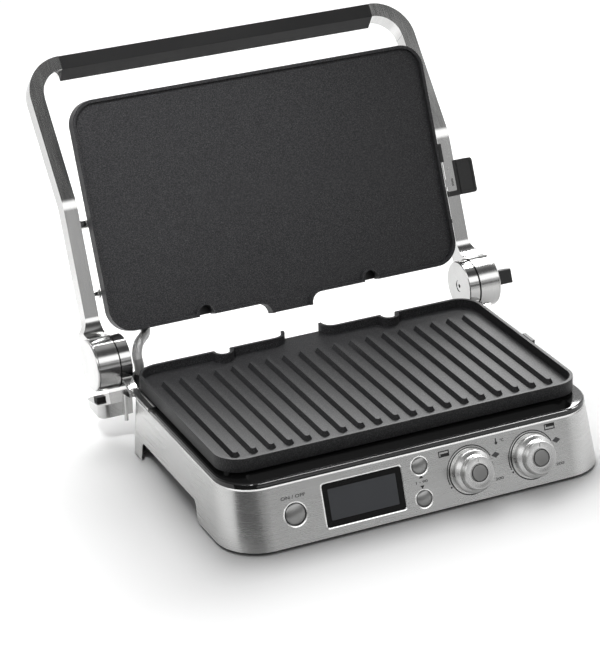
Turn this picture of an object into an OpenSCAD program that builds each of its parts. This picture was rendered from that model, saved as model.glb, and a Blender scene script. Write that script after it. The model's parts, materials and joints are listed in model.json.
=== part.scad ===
// Contact grill (panini press) with folding lid, lying on a table.
// Frame: X to the right, Y to the back, Z up. Origin on the table under the middle of the base.
// Pieces of the lid and its arms are drawn in the lid's own frame and turned open by lid_open.

/* [Base] */
// Width of the stainless wrap at its lower edge
base_w = 389.2; // [384:0.1:394]
// Front panel's lower edge, forward of the origin
base_front = 138.5; // [136:0.1:141]
// Rear wall's lower edge, behind the lower plate
rear_margin = 11.25; // [9:0.25:13]
// Corner radius of the wrap at its lower edge
base_r = 41.5; // [38:0.1:44]
// Height of the wrap's lower edge above the table
skirt_z = 2.7; // [2.2:0.1:3.2]
// Height of the wrap
wrap_h = 55.5; // [54:0.1:57]
// How far each side wall leans in over its height
side_draft = 4.7; // [4:0.1:5.4]
// How far the front panel leans back over its height
front_draft = 18.1; // [17:0.1:19]
// How far the rear wall leans in over its height
rear_draft = 4; // [3:0.1:5]
// How much the corner radius shrinks over the height
corner_draft = 5.1; // [4:0.1:6]
// Sheet thickness of the stainless steel
steel_t = 1.2; // [1:0.1:1.4]
// Height of the raised lower edge along each side
side_gap_h = 21.2; // [19:0.1:23]
// Front end of the raised edge, measured from the origin
side_gap_front = -55; // [-60:1:-50]
// Rear end of the raised edge, measured from the origin
side_gap_rear = 88; // [84:1:92]
// Thickness of the floor pan
pan_t = 2.5; // [2:0.1:3]
// Height of the floor pan's underside above the table
pan_z = 7.5; // [7:0.1:8]
// Height of each rubber foot
foot_h = 1.5; // [1.2:0.1:1.8]
// Radius of each rubber foot
foot_r = 9; // [7:0.5:9.5]

/* [Deck] */
// Height of the black deck band above the wrap
deck_h = 5.3; // [4.5:0.1:6]
// Wall thickness of moulded plastic pieces
wall = 2.5; // [2:0.1:3]
// Depth of the trough in front of the plate
trough_d = 6; // [4:0.5:7]
// Width of the trough
trough_w = 330; // [310:1:340]
// Gap under the lower plate, filled by its rests
plate_lift = 3; // [2.6:0.1:3.4]

/* [Plates] */
// Width of the lower plate
lower_w = 368; // [364:0.5:370]
// Depth of the lower plate
lower_d = 225.5; // [222:0.5:227]
// Middle of the lower plate, behind the origin
lower_y = 14; // [13:0.5:15]
// Width of the upper plate
upper_w = 377.4; // [374:0.2:379]
// Depth of the upper plate
upper_d = 227.5; // [224:0.5:229]
// Corner radius of both plates
plate_r = 24; // [20:0.5:28]
// Height of both plate castings
plate_h = 13.5; // [12.5:0.1:14.5]
// Width of the raised rim round each plate
rim_t = 3; // [2.5:0.1:4]
// Depth of the lower plate inside its rim
lower_dish = 9; // [8:0.1:9.6]
// Depth of the upper plate inside its rim
upper_dish = 5; // [4:0.1:6]
// Thickness of the plates' cooking wall
plate_t = 4.5; // [4:0.1:4.8]
// Number of ribs on the lower plate
rib_n = 19; // [15:2:19]
// Distance from rib to rib
rib_pitch = 18; // [17:0.1:18.4]
// Width of a rib at its foot
rib_w = 9.2; // [7:0.1:10]
// Width of a rib at its top
rib_top_w = 4.6; // [3:0.1:6]
// Height of a rib
rib_h = 4.5; // [3:0.1:6]
// Room between the front rim and the ribs
rib_front = 21.7; // [18:0.1:26]
// Room between the rear rim and the ribs
rib_rear = 27.7; // [24:0.1:32]
// Length of the drain spout behind each plate
spout_l = 11.5; // [10:0.1:12.5]
// Half the width of the drain spout
spout_half = 22; // [18:0.5:26]
// Radius of the fillets at the root of the spout
spout_fillet = 11; // [8:0.5:11]
// Distance of the rear notches from the middle
notch_x = 90; // [80:1:100]
// Width of a rear notch
notch_w = 16; // [12:0.5:18]
// Depth of a rear notch
notch_d = 10.5; // [9:0.5:12]

/* [Hinge and arms] */
// Hinge axis, behind the lower plate
hinge_back = 23.45; // [23.25:0.05:24.25]
// Hinge axis above the table
hinge_z = 81; // [80.8:0.1:81.6]
// Angle of the lid above level when it stands open
lid_open = 67.7; // [60:0.1:75]
// Radius of the fixed hinge disc
disc_r = 25.5; // [24.5:0.1:26]
// Inner face of the fixed hinge disc, from the middle
disc_x = 183.2; // [183:0.1:184]
// Thickness of the fixed hinge disc
disc_t = 11.8; // [11.4:0.1:12]
// Radius of the arm's hinge drum
drum_r = 26; // [25:0.1:26.5]
// Width of the arm's hinge drum
drum_w = 21.1; // [20.5:0.1:22]
// Chamfer on the discs, the drums and their caps
hinge_chamfer = 0.8; // [0.3:0.1:1.5]
// Thickness of the drum's end cap
cap_t = 2.5; // [2:0.1:3]
// Radius of the hinge axle
axle_r = 6; // [5:0.1:7]
// Inner face of an arm, from the middle
arm_x = 195.6; // [195.4:0.1:196]
// Width of an arm
arm_w = 14.1; // [13:0.1:15]
// Depth of an arm from front to back
arm_d = 18; // [16:0.1:19]
// Front face of the arms, behind the hinge axis
arm_back = 13.3; // [12.5:0.1:14]
// Distance from the hinge axis to the bend of the arms
knee_y = 156.4; // [154:0.1:158]
// Angle by which the arms bend back
knee_a = 18.6; // [17.6:0.1:19]
// Radius of the bend on the arms' front face
knee_r = 40; // [20:1:60]
// Length of the arms beyond the bend, to the top of the handle
upper_l = 153.2; // [151:0.1:153.6]
// Height of the handle bar's front face
bar_h = 14.4; // [13:0.1:16]
// Height of the grip's back face
grip_back_h = 19.8; // [17:0.1:21]
// Outer radius of the arms' upper corners
bend_r = 40; // [36:0.5:42]
// Radius of the rod inside the handle
rod_r = 4; // [3:0.1:5]
// Distance from the hinge axis to the lid's pivot pins
pivot_y = 135; // [133:0.5:137]
// Depth of the pivot pins behind the hinge axis
pivot_z = 23.3; // [22:0.1:24]
// Radius of the pivot pins
pivot_r = 4.75; // [4:0.05:5.5]
// Distance from the hinge axis to the stop pins
stop_y = 66; // [62:0.5:70]
// Radius of the stop pins
stop_r = 2.5; // [2:0.1:3]

/* [Lid] */
// Depth of the lid's steel cover behind the hinge plane
cover_h = 60; // [54:0.5:62]
// Sheet thickness of the lid's cover
cover_t = 0.7; // [0.5:0.1:1]
// Rear edge of the upper plate, from the hinge axis
upper_y = 24.2; // [24:0.1:25]
// How far the upper rim stands in front of the hinge plane
rim_z = 0.5; // [0.3:0.1:0.7]
// Thickness of the lid's black frame
frame_t = 3; // [2.6:0.1:3.4]

/* [Front panel] */
// Radius of the start button
start_r = 9; // [8:0.1:10]
// Radius of the timer buttons
timer_r = 6.5; // [5.5:0.1:7]
// Travel of the push buttons
push = 1.5; // [1:0.1:2]
// Width of the display's bezel
bezel_w = 79.5; // [76:0.5:82]
// Height of the display's bezel
bezel_h = 40.7; // [38:0.1:42]
// Depth of the bezel's face below the steel
bezel_in = 0.5; // [0.3:0.1:0.8]
// Width of the display
screen_w = 68.5; // [60:0.5:72]
// Height of the display
screen_h = 29.4; // [26:0.1:32]
// Radius of a knob at its foot
knob_r = 20.3; // [18:0.1:21]
// How far a knob stands out of the panel
knob_h = 20; // [17:0.1:22]
// How far a knob steps in at its face
knob_step = 4; // [2:0.5:6]
// Radius of the button in the middle of a knob
knob_push_r = 7.7; // [7:0.1:8.5]
// Radius of a knob's shaft
shaft_r = 3; // [2.5:0.1:3.5]

/* [Drip tray] */
// Width of the drip tray
tray_w = 144; // [120:1:160]
// Length of the drip tray
tray_l = 88; // [80:1:92]
// Height of the drip tray
tray_h = 22; // [18:0.5:24]

/* [Clearances] */
// Gap between moving pieces
gap = 0.3; // [0.2:0.05:0.4]
// Gap between fixed pieces that slip into one another
slip = 0.1; // [0.05:0.05:0.2]
// Gap between a pin and its bore
run = 0.05; // [0.03:0.01:0.08]

/* [Hidden] */
$fn = 64;

eps = 0.01;
hull_fn = 32;
through = 400;

// Wrap and deck
skirt_top = skirt_z + wrap_h;
slope = atan(front_draft / wrap_h);
panel_t = steel_t * cos(slope);
deck_top = skirt_top + deck_h;
deck_edge = 1.2;
shadow_line = 1.6;
shadow_in = 0.6;
plate_z = deck_top + plate_lift;
lower_rear = lower_y + lower_d / 2;
lower_front = lower_y - lower_d / 2;
base_rear = lower_rear + rear_margin;
pan_top = pan_z + pan_t;
lip_in = 0.6;
lip_h = 8;
feet_at = [[-150, -100], [150, -100], [-145, base_rear - 15], [145, base_rear - 15]];
foot_boss = 1.2;
rest_r = 4;
trough_front = 3.4;
trough_len = 17;
catch_x = lower_w / 2 + 2;
catch_y = lower_y - 0.5;
catch_t = 1.4;
catch_len = 11;
catch_pad = [3.2, 19, 8];

// Outline of the wrap at height z
function rise(z) = (z - skirt_z) / wrap_h;
function half_w(z) = base_w / 2 - side_draft * rise(z);
function front_y(z) = -base_front + front_draft * rise(z);
function rear_y(z) = base_rear - rear_draft * rise(z);
function corner_r(z) = base_r - corner_draft * rise(z);

// Front panel: features by their distance from the middle and down the slope
start_at = [-129.2, 29.9];
screen_at = [-60.75, 29.35];
timer_up_at = [-2, 13.6];
timer_down_at = [-2, 44.6];
knob_left_at = [48.4, 29.2];
knob_right_at = [112.8, 29.2];
carrier_w = 304;
carrier_top = 3;
carrier_len = 50.5;
carrier_t = 4;
carrier_z = -panel_t - slip;
carrier_post_r = 3;
sump_w = carrier_w + 8;
sump_l = 24.5;
seat = 0.02;
board_z = -11;
board_t = 1.6;
board_top = 6;
board_len = 38;
flange_t = 1;
stem_r = 2;
start_ring_w = 1.2;
encoder_h = 3.5;
encoder_w = 12;
encoder_neck = 1.9;
bezel_r = 3;
bezel_lip = 3;
glass_in = 0.9;
glass_t = 1;
module_in = 2.6;
knob_ring_w = 1.2;
knob_ring_h = 1.2;
knob_foot = knob_ring_h + gap;
knob_bore = 5;
knob_dish = 1.2;

// Opening in the deck for the lower reflector
open_x = 160;
open_front = lower_front + 22;
open_rear = lower_rear - 23;
open_mid = (open_front + open_rear) / 2;
open_r = 14;
bowl_rim = 5;
bowl_t = 0.6;
bowl_d = 11.5;
heater_r = 3.5;
heater_rows = 4;
heater_pitch = 42;
heater_half = 118;
heater_tail = 22;
heater_z = plate_z - gap - heater_r;
support_x = 60;
support_t = 3;
support_over = 8;
sensor_r = 5;
sensor_foot = [9, 3];

// Hinge
hinge_y = lower_rear + hinge_back;
hub_x = disc_x + disc_t + gap;
drum_end = hub_x + drum_w;
axle_end = 204;
axle_in = 0.6;
socket_r = 2.2;
neck_x = lower_w / 2 + 2 * gap;
neck_low = 44;
strip_front = hinge_y - 85.2;
strip_rear = hinge_y - 36.2;
strip_w = 8;
strip_h = 2.7;
strip_rim = 1.2;
shelf_front = hinge_y - 21.2;
shelf_rear = hinge_y + 17.4;
shelf_low = 32;
shelf_top = 46.7;
shelf_fall = 7.3;
shelf_end = 219;
shelf_r = 7;
shelf_lip = 1.6;
shelf_lip_out = 0.6;
post_r = 2;
post_low = 26;
post_x = disc_x + disc_t - 3.2;
pad_at = [205.3, hinge_y - 3.2];
pad_size = [9.2, 9, 3.5];

// Arms and handle
neck_r = 20;
neck_y = 46;
hub_taper = 40;
upper_start = 60;
bend_n = 8;
grip_x = 169.7;
grip_rod_y = upper_l - bar_h / 2;
grip_rod_z = -arm_d / 2;
rod_in = 12;
pin_in = 4;
release_w = 15;
release_in = 2.5;
release_out = 22;
slider_y0 = 91;
slider_y1 = 131;
slider_out = 228;
slider_r = 3;
slider_face = 2.5;
slider_dent = 0.8;
clip_w = 10.5;
clip_t = 2.2;
clip_foot = 5;

// Lid
lid_half = upper_w / 2 - 1.2;
lid_y0 = upper_y + 0.8;
lid_y1 = upper_y + upper_d - 0.7;
frame_z = rim_z - plate_h - gap;
cover_z = frame_z - frame_t;
lid_open_x = 165;
lid_open_y0 = lid_y0 + 20;
lid_open_y1 = lid_y1 - 20;
lid_open_r = 12;
lid_mid = (lid_open_y0 + lid_open_y1) / 2;
upper_bowl_d = 14;
upper_heater_z = frame_z - heater_r - gap;
boss_in = 166;
boss_out = 177;
boss_low = 31;
boss_w = 16;
stop_washer = 2.4;
grommet_x = -148;
grommet_z = -24.5;
grommet_r = 6.9;
grommet_l = 8;
grommet_mouth = 6;
catch_lid_y = hinge_y - catch_y;
upper_catch_x = upper_w / 2 + 1 + 2 * gap;
upper_leg_x = lid_half - 3.5;

// Conduit from the base to the lid; the points are measured from the hinge axis
conduit_r = 5;
conduit_sides = 12;
conduit_at = [grommet_x - 24, hinge_y - 12.2];
conduit_route = [for (p = [
    [-172, -12.2, -27], [-172, -12.2, -19], [-172, -12.2, -11], [-172.3, -11.7, -3], [-172.5, -8.2, 6],
    [-165, 4.3, 11.5], [-155, 17.8, 10.5], [-149, 27.8, 10.5], [-148, 33, 15.8], [-148, 35.3, 21.5]
  ]) [p[0], hinge_y + p[1], hinge_z + p[2]]];
gland_r = 7.7;
gland_low = skirt_top - 9;
gland_cone = [6.6, 5];
elbow_r = 3.5;
elbow_bore = 2.2;
elbow_z = skirt_top - 6;
elbow_to = [half_w(elbow_z) - corner_r(elbow_z), rear_y(elbow_z) - corner_r(elbow_z)];

// Rear of the base
cord_x = 120;
cord_z = 28;
cord_r = 6;
cord_bore = 3.6;
block_y = 92;
block = [30, 16, 10];
tray_z = 13.4;
tray_rear = base_rear + 28;
tray_half = tray_w / 2;
tray_flange = 8;
runner = [8, 60];

// ---------------------------------------------------------------- helpers

// Flat outline with round corners
module rounded(x0, x1, y0, y1, r) {
  translate([x0 + r, y0]) square([x1 - x0 - 2 * r, y1 - y0]);
  translate([x0, y0 + r]) square([x1 - x0, y1 - y0 - 2 * r]);
  for (x = [x0 + r, x1 - r], y = [y0 + r, y1 - r]) translate([x, y]) circle(r);
}

// Thin slice of the wrap's outline at height z, drawn in by inset
module slice(z, inset) {
  r = corner_r(z) - inset;
  for (x = [-1, 1], y = [front_y(z) + corner_r(z), rear_y(z) - corner_r(z)])
    translate([x * (half_w(z) - corner_r(z)), y, z]) cylinder(r = r, h = eps, $fn = hull_fn);
}

// Solid between two heights inside the wrap's leaning outline
module taper(z0, z1, inset) hull() {
  slice(z0, inset);
  slice(z1 - eps, inset);
}

// Places a piece on the leaning front panel: x, distance down the slope, z outward
module on_panel(at) translate([0, front_y(skirt_top), skirt_top])
  rotate([90 - slope, 0, 0]) translate([at[0], -at[1], 0]) children();

// Extrudes a Y-Z profile along X
module along_x(x0, x1) translate([x0, 0, 0]) rotate([90, 0, 90])
  linear_extrude(x1 - x0) children();

// Round bar along X
module rod_x(x0, x1, r) translate([x0, 0, 0]) rotate([0, 90, 0]) cylinder(r = r, h = x1 - x0);

// Round bar along Y
module rod_y(y0, y1, r) translate([0, y0, 0]) rotate([-90, 0, 0]) cylinder(r = r, h = y1 - y0);

// Round bar along X with a chamfer c on its near and far edge
module disc(x0, x1, r, near, far) {
  rod_x(x0 + near, x1 - far, r);
  if (near > 0) translate([x0, 0, 0]) rotate([0, 90, 0]) cylinder(r1 = r - near, r2 = r, h = near + eps);
  if (far > 0) translate([x1 - far - eps, 0, 0]) rotate([0, 90, 0])
    cylinder(r1 = r, r2 = r - far, h = far + eps);
}

// Draws on the right, or mirrored on the left
module on_side(s) {
  if (s > 0) children();
  else mirror([1, 0, 0]) children();
}

// The lid's own frame: X along the hinge, Y away from it, Z out of the cooking face
module in_lid() translate([0, hinge_y, hinge_z]) rotate([lid_open, 0, 0]) children();

// The frame of the arms beyond their bend, with Y along them and Z = 0 at their front face
module in_upper_arm() translate([0, knee_y, -arm_back]) rotate([-knee_a, 0, 0]) children();

// ---------------------------------------------------------------- plates

// Plan of a plate, from its rear edge at y = 0, drawn in by inset
module plate_plan(w, d, inset) difference() {
  union() {
    rounded(-w / 2 + inset, w / 2 - inset, inset, d - inset, plate_r - inset);
    translate([-spout_half + inset, -spout_l - (inset > 0 ? 1 : 0)])
      square([2 * (spout_half - inset), spout_l + 2 * rim_t]);
    for (s = [-1, 1]) difference() {
      translate([s * (spout_half + spout_fillet / 2) - spout_fillet / 2 - inset, -spout_fillet])
        square([spout_fillet + 2 * inset, spout_fillet + inset + eps]);
      translate([s * (spout_half + spout_fillet), -spout_fillet]) circle(spout_fillet + inset);
    }
  }
  for (s = [-1, 1]) translate([s * notch_x, 0]) {
    translate([-notch_w / 2 - inset, -1]) square([notch_w + 2 * inset, 1 + notch_d - notch_w / 2]);
    translate([0, notch_d - notch_w / 2]) circle(notch_w / 2 + inset);
  }
}

// One rib: a long wedge with a cone at each end
module rib() {
  foot = rib_w / 2;
  top = rib_top_w / 2;
  near = rib_rear + foot;
  far = lower_d - rib_front - foot;
  translate([0, far, 0]) rotate([90, 0, 0]) linear_extrude(far - near)
    polygon([[-foot, 0], [foot, 0], [top, rib_h], [-top, rib_h]]);
  for (y = [near, far]) translate([0, y, 0]) cylinder(r1 = foot - eps, r2 = top - eps, h = rib_h);
}

module ribs() for (i = [-(rib_n - 1) / 2 : (rib_n - 1) / 2]) translate([i * rib_pitch, 0, -eps]) rib();

module lower_plate() color([0.16, 0.16, 0.17])
  translate([0, lower_rear, plate_z]) mirror([0, 1, 0]) {
    difference() {
      linear_extrude(plate_h) plate_plan(lower_w, lower_d, 0);
      translate([0, 0, plate_h - lower_dish]) linear_extrude(plate_h)
        plate_plan(lower_w, lower_d, rim_t);
    }
    translate([0, 0, plate_h - lower_dish]) ribs();
  }

module upper_plate() color([0.14, 0.14, 0.15])
  in_lid() translate([0, upper_y, rim_z - plate_h]) difference() {
    linear_extrude(plate_h) plate_plan(upper_w, upper_d, 0);
    translate([0, 0, plate_h - upper_dish]) linear_extrude(plate_h)
      plate_plan(upper_w, upper_d, rim_t);
    translate([0, 0, -1]) linear_extrude(1 + plate_h - upper_dish - plate_t)
      rounded(-lid_open_x, lid_open_x, 20, upper_d - 20, plate_r / 2);
  }

// ---------------------------------------------------------------- base

// Raised lower edge of the wrap along its sides
module side_cut() along_x(-base_w, base_w) hull() {
  translate([side_gap_front + 13, side_gap_h - 8]) circle(8);
  translate([side_gap_rear - 7, side_gap_h - 5]) circle(5);
  translate([side_gap_front, -1]) square([side_gap_rear - side_gap_front, 4]);
}

module steel_wrap() color([0.78, 0.78, 0.77]) difference() {
  taper(skirt_z, skirt_top, 0);
  taper(skirt_z - 1, skirt_top + 1, steel_t);
  side_cut();
  on_panel(start_at) panel_hole(start_r + gap + start_ring_w + gap);
  for (at = [timer_up_at, timer_down_at]) on_panel(at) panel_hole(timer_r + gap);
  for (at = [knob_left_at, knob_right_at]) on_panel(at) panel_hole(shaft_r + 2);
  on_panel(screen_at) translate([0, 0, -through / 2]) linear_extrude(through)
    centred(bezel_w + 2 * slip, bezel_h + 2 * slip, bezel_r);
  translate([-tray_half - 1.5, base_rear - 20, tray_z - 1]) cube([tray_w + 3, 30, tray_h + 3]);
  translate([cord_x, base_rear - 20, cord_z]) rod_y(0, 40, cord_r);
  conduit_elbow(elbow_r + slip);
}

// Round hole through the front panel
module panel_hole(r) translate([0, 0, -10]) cylinder(r = r, h = 20);

// Outline with round corners about the middle
module centred(w, h, r) rounded(-w / 2, w / 2, -h / 2, h / 2, r);

module floor_pan() color([0.09, 0.09, 0.09]) {
  pan_shell();
  // sump under the controls
  sump_front = front_y(foot_h) + steel_t + slip + wall - 0.2;
  translate([-sump_w / 2, sump_front, foot_h]) difference() {
    cube([sump_w, sump_l, pan_z - foot_h + 0.5]);
    translate([wall, -1, pan_t]) cube([sump_w - 2 * wall, sump_l - wall + 1, pan_z]);
  }
}

module pan_shell() difference() {
  union() {
    taper(pan_z, pan_top, steel_t + slip);
    difference() {
      taper(foot_h, skirt_z, lip_in);
      taper(foot_h - 1, skirt_z + 1, steel_t + slip + wall);
    }
    difference() {
      taper(skirt_z, pan_z + eps, steel_t + slip);
      taper(skirt_z - 1, pan_z + 1, steel_t + slip + wall);
    }
    for (at = feet_at) translate([at[0], at[1], foot_h])
      cylinder(r = foot_r + foot_boss, h = pan_z - foot_h + eps);
    // runners under the drip tray
    for (x = [-1, 1]) translate([x * (tray_half - 12) - runner[0] / 2, 70, pan_top - eps])
      cube([runner[0], runner[1], tray_z - pan_top - gap + eps]);
  }
  // the sides are drawn in behind the wrap's raised edge
  for (x = [-1, 1]) translate([x * base_w / 2 - 13, side_gap_front - 2, -1])
    cube([26, side_gap_rear - side_gap_front + 4, 40]);
  // room for the controls behind the front panel
  on_panel([0, 0]) translate([-carrier_w / 2 - 1, -carrier_len - 5, board_z - 3])
    cube([carrier_w + 2, 60, 20]);
}

module rubber_feet() color([0.05, 0.05, 0.05]) for (at = feet_at)
  translate([at[0], at[1], 0]) cylinder(r = foot_r, h = foot_h);

module deck_frame() color([0.07, 0.07, 0.07]) difference() {
  union() {
    // shadow line over the steel, and the band with its bevelled edge
    taper(skirt_top, skirt_top + shadow_line + eps, shadow_in);
    hull() {
      slice(skirt_top + shadow_line, 0);
      slice(deck_top - deck_edge, 0);
      slice(deck_top - eps, deck_edge);
    }
    // lip inside the steel
    difference() {
      taper(skirt_top - lip_h, skirt_top + eps, steel_t + slip);
      taper(skirt_top - lip_h - 1, skirt_top + 1, steel_t + slip + wall);
    }
    // rests of the plate
    for (x = [-1, 1], y = [lower_front + 14, lower_rear - 14])
      translate([x * (lower_w / 2 - 9), y, deck_top - 1]) cylinder(r = rest_r, h = plate_lift + 1);
    // trough floor
    translate([-trough_w / 2 - wall, front_y(skirt_top) + 4, deck_top - trough_d - wall])
      cube([trough_w + 2 * wall, 24, 2 * wall]);
  }
  translate([0, 0, -20]) linear_extrude(through)
    rounded(-open_x, open_x, open_front, open_rear, open_r);
  translate([0, 0, deck_top - trough_d]) linear_extrude(20)
    rounded(-trough_w / 2, trough_w / 2, front_y(deck_top) + trough_front,
      front_y(deck_top) + trough_front + trough_len, trough_d);
  conduit_elbow(elbow_r + slip);
  // room for the controls
  on_panel([0, 0]) translate([-carrier_w / 2 - 1, -12, carrier_z - carrier_t + 1])
    cube([carrier_w + 2, 12, 10]);
  // slot for the plate catch
  translate([catch_x - gap, catch_y - catch_len / 2 - gap, skirt_top - 10])
    cube([catch_t + 1 + 2 * gap, catch_len + 2 * gap, 30]);
}

module lower_catch() color([0.06, 0.06, 0.06]) {
  translate([catch_x + 1, catch_y - catch_len / 2, skirt_top - 6])
    cube([catch_t, catch_len, deck_h + 14]);
  translate([catch_x + 1, catch_y - catch_pad[1] / 2, deck_top + 6.5]) cube(catch_pad);
}

module lower_reflector() color([0.72, 0.72, 0.73]) difference() {
  union() {
    translate([0, 0, deck_top]) linear_extrude(bowl_t)
      rounded(-open_x - bowl_rim, open_x + bowl_rim, open_front - bowl_rim, open_rear + bowl_rim,
        open_r + 2);
    translate([0, 0, deck_top - bowl_d]) linear_extrude(bowl_d)
      rounded(-open_x + slip, open_x - slip, open_front + slip, open_rear - slip, open_r);
  }
  translate([0, 0, deck_top - bowl_d + bowl_t]) linear_extrude(bowl_d + 5)
    rounded(-open_x + 1, open_x - 1, open_front + 1, open_rear - 1, open_r - 1);
}

// Heating element: rows of tube along X, joined by half-round bends
module heater() {
  span = (heater_rows - 1) * heater_pitch;
  for (i = [0 : heater_rows - 1]) translate([0, i * heater_pitch - span / 2, 0])
    rod_x(-heater_half, heater_half, heater_r);
  for (i = [0 : heater_rows - 2]) {
    s = i % 2 == 0 ? 1 : -1;
    translate([s * heater_half, (i + 0.5) * heater_pitch - span / 2, 0])
      rotate([0, 0, s > 0 ? -90 : 90])
        rotate_extrude(angle = 180) translate([heater_pitch / 2, 0]) circle(heater_r);
  }
  for (y = [-span / 2, span / 2]) translate([0, y, 0])
    rod_x(-heater_half - heater_tail, -heater_half, heater_r);
}

// Strips that carry the element in round notches
module heater_supports(h) {
  span = (heater_rows - 1) * heater_pitch;
  for (x = [-support_x, support_x]) difference() {
    translate([x - support_t / 2, -span / 2 - support_over, -h])
      cube([support_t, span + 2 * support_over, h]);
    for (i = [0 : heater_rows - 1]) translate([0, i * heater_pitch - span / 2, 0])
      rod_x(x - support_t, x + support_t, heater_r + slip);
  }
}

// Temperature sensor: foot and spring-loaded head
module sensor(h) {
  cylinder(r = sensor_foot[0], h = sensor_foot[1]);
  cylinder(r = sensor_r, h = h);
}

module lower_heater() color([0.25, 0.25, 0.26]) translate([0, open_mid, heater_z]) heater();

module lower_heater_supports() color([0.6, 0.6, 0.6]) translate([0, open_mid, heater_z])
  heater_supports(heater_z - deck_top + bowl_d - bowl_t);

module lower_sensor() color([0.75, 0.72, 0.65]) translate([0, open_mid, deck_top - bowl_d + bowl_t])
  sensor(plate_z - deck_top + bowl_d - bowl_t - gap);

// ---------------------------------------------------------------- front panel

// Plunger of a push button: domed head, flange behind the panel and stem to the board
module button(r, out) {
  rotate_extrude() polygon([
    [0, carrier_z], [r, carrier_z], [r, out - 0.8], [r - 0.25, out - 0.3], [r - 0.9, out],
    [r / 3, out + 0.3], [0, out + 0.3]
  ]);
  translate([0, 0, carrier_z - flange_t]) cylinder(r = r + 1, h = flange_t);
  translate([0, 0, board_z + push + gap]) cylinder(r = stem_r, h = carrier_z - board_z - push - gap);
}

// Stepped hole in the carrier for such a plunger
module button_bore(r) {
  translate([0, 0, carrier_z - flange_t - push - gap]) cylinder(r = r + 1 + gap, h = 20);
  translate([0, 0, board_z - 1]) cylinder(r = stem_r + gap, h = 20);
}

module panel_carrier() color([0.1, 0.1, 0.1]) difference() {
  union() {
    on_panel([0, carrier_top]) translate([-carrier_w / 2, -carrier_len, carrier_z - carrier_t])
      cube([carrier_w, carrier_len, carrier_t]);
    for (x = [-1, 1], v = [board_top + 4, board_top + board_len - 6])
      on_panel([x * (carrier_w / 2 - 8), v]) translate([0, 0, board_z])
        cylinder(r = carrier_post_r, h = carrier_z - board_z - eps);
  }
  on_panel(start_at) button_bore(start_r);
  on_panel(timer_up_at) button_bore(timer_r);
  on_panel(timer_down_at) button_bore(timer_r);
  for (at = [knob_left_at, knob_right_at])
    on_panel(at) translate([0, 0, -20]) cylinder(r = shaft_r + 2.1, h = 40);
  on_panel(screen_at) translate([0, 0, -20]) linear_extrude(40)
    centred(screen_w + 2 * bezel_lip + 2, screen_h + 2 * bezel_lip + 2, 1);
}

module control_board() color([0.1, 0.35, 0.2]) on_panel([0, board_top])
  translate([-carrier_w / 2, -board_len, board_z - board_t]) difference() {
    cube([carrier_w, board_len, board_t]);
    for (at = [knob_left_at, knob_right_at])
      translate([carrier_w / 2 + at[0], board_len + board_top - at[1], -1])
        cylinder(r = shaft_r + 1, h = 5);
  }

module encoder(at) color([0.55, 0.56, 0.6]) on_panel(at) difference() {
  union() {
    translate([-encoder_w / 2, -encoder_w / 2, board_z]) cube([encoder_w, encoder_w, encoder_h]);
    translate([0, 0, board_z]) cylinder(r = shaft_r + encoder_neck, h = -board_z);
  }
  translate([0, 0, board_z - 1]) cylinder(r = shaft_r + run, h = 20);
}

module encoder_left() encoder(knob_left_at);
module encoder_right() encoder(knob_right_at);

// Frame of the display, sunk into the steel, with a lip behind it round the module
module display_bezel() color([0.04, 0.04, 0.05]) on_panel(screen_at) difference() {
  union() {
    translate([0, 0, carrier_z + seat]) linear_extrude(-bezel_in - carrier_z - seat)
      centred(bezel_w, bezel_h, bezel_r);
    translate([0, 0, carrier_z - carrier_t]) linear_extrude(carrier_t - carrier_z - bezel_in)
      centred(screen_w + 2 * bezel_lip + 2 - 2 * slip, screen_h + 2 * bezel_lip + 2 - 2 * slip, 1);
  }
  translate([0, 0, -glass_in - glass_t]) linear_extrude(5) centred(screen_w, screen_h, 1);
  translate([0, 0, -10]) linear_extrude(20) centred(screen_w - 4, screen_h - 4, 0.5);
  translate([0, 0, -10]) linear_extrude(10 - module_in)
    square([screen_w + 2 * (bezel_lip + slip), screen_h + 2 * (bezel_lip + slip)], center = true);
}

module display_glass() color([0.2, 0.22, 0.25, 0.9]) on_panel(screen_at)
  translate([0, 0, -glass_in - glass_t]) linear_extrude(glass_t)
    centred(screen_w - 2 * slip, screen_h - 2 * slip, 1);

module display_module() color([0.3, 0.33, 0.36]) on_panel(screen_at)
  translate([-screen_w / 2 - bezel_lip, -screen_h / 2 - bezel_lip, board_z])
    cube([screen_w + 2 * bezel_lip, screen_h + 2 * bezel_lip, -board_z - module_in - slip]);

module start_ring() color([0.7, 0.7, 0.7]) on_panel(start_at)
  translate([0, 0, carrier_z]) difference() {
    cylinder(r = start_r + gap + start_ring_w, h = -gap - carrier_z);
    translate([0, 0, -1]) cylinder(r = start_r + gap, h = 5);
  }

module start_button() color([0.75, 0.75, 0.75]) on_panel(start_at) button(start_r, 1.2);
module timer_up_button() color([0.7, 0.7, 0.7]) on_panel(timer_up_at) button(timer_r, 1.5);
module timer_down_button() color([0.7, 0.7, 0.7]) on_panel(timer_down_at) button(timer_r, 1.5);

module knob_ring(at) color([0.75, 0.75, 0.75]) on_panel(at) translate([0, 0, seat]) difference() {
  cylinder(r = knob_r + knob_ring_w, h = knob_ring_h);
  translate([0, 0, -1]) cylinder(r = shaft_r + 2.1, h = 5);
}

module knob_ring_left() knob_ring(knob_left_at);
module knob_ring_right() knob_ring(knob_right_at);

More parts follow.
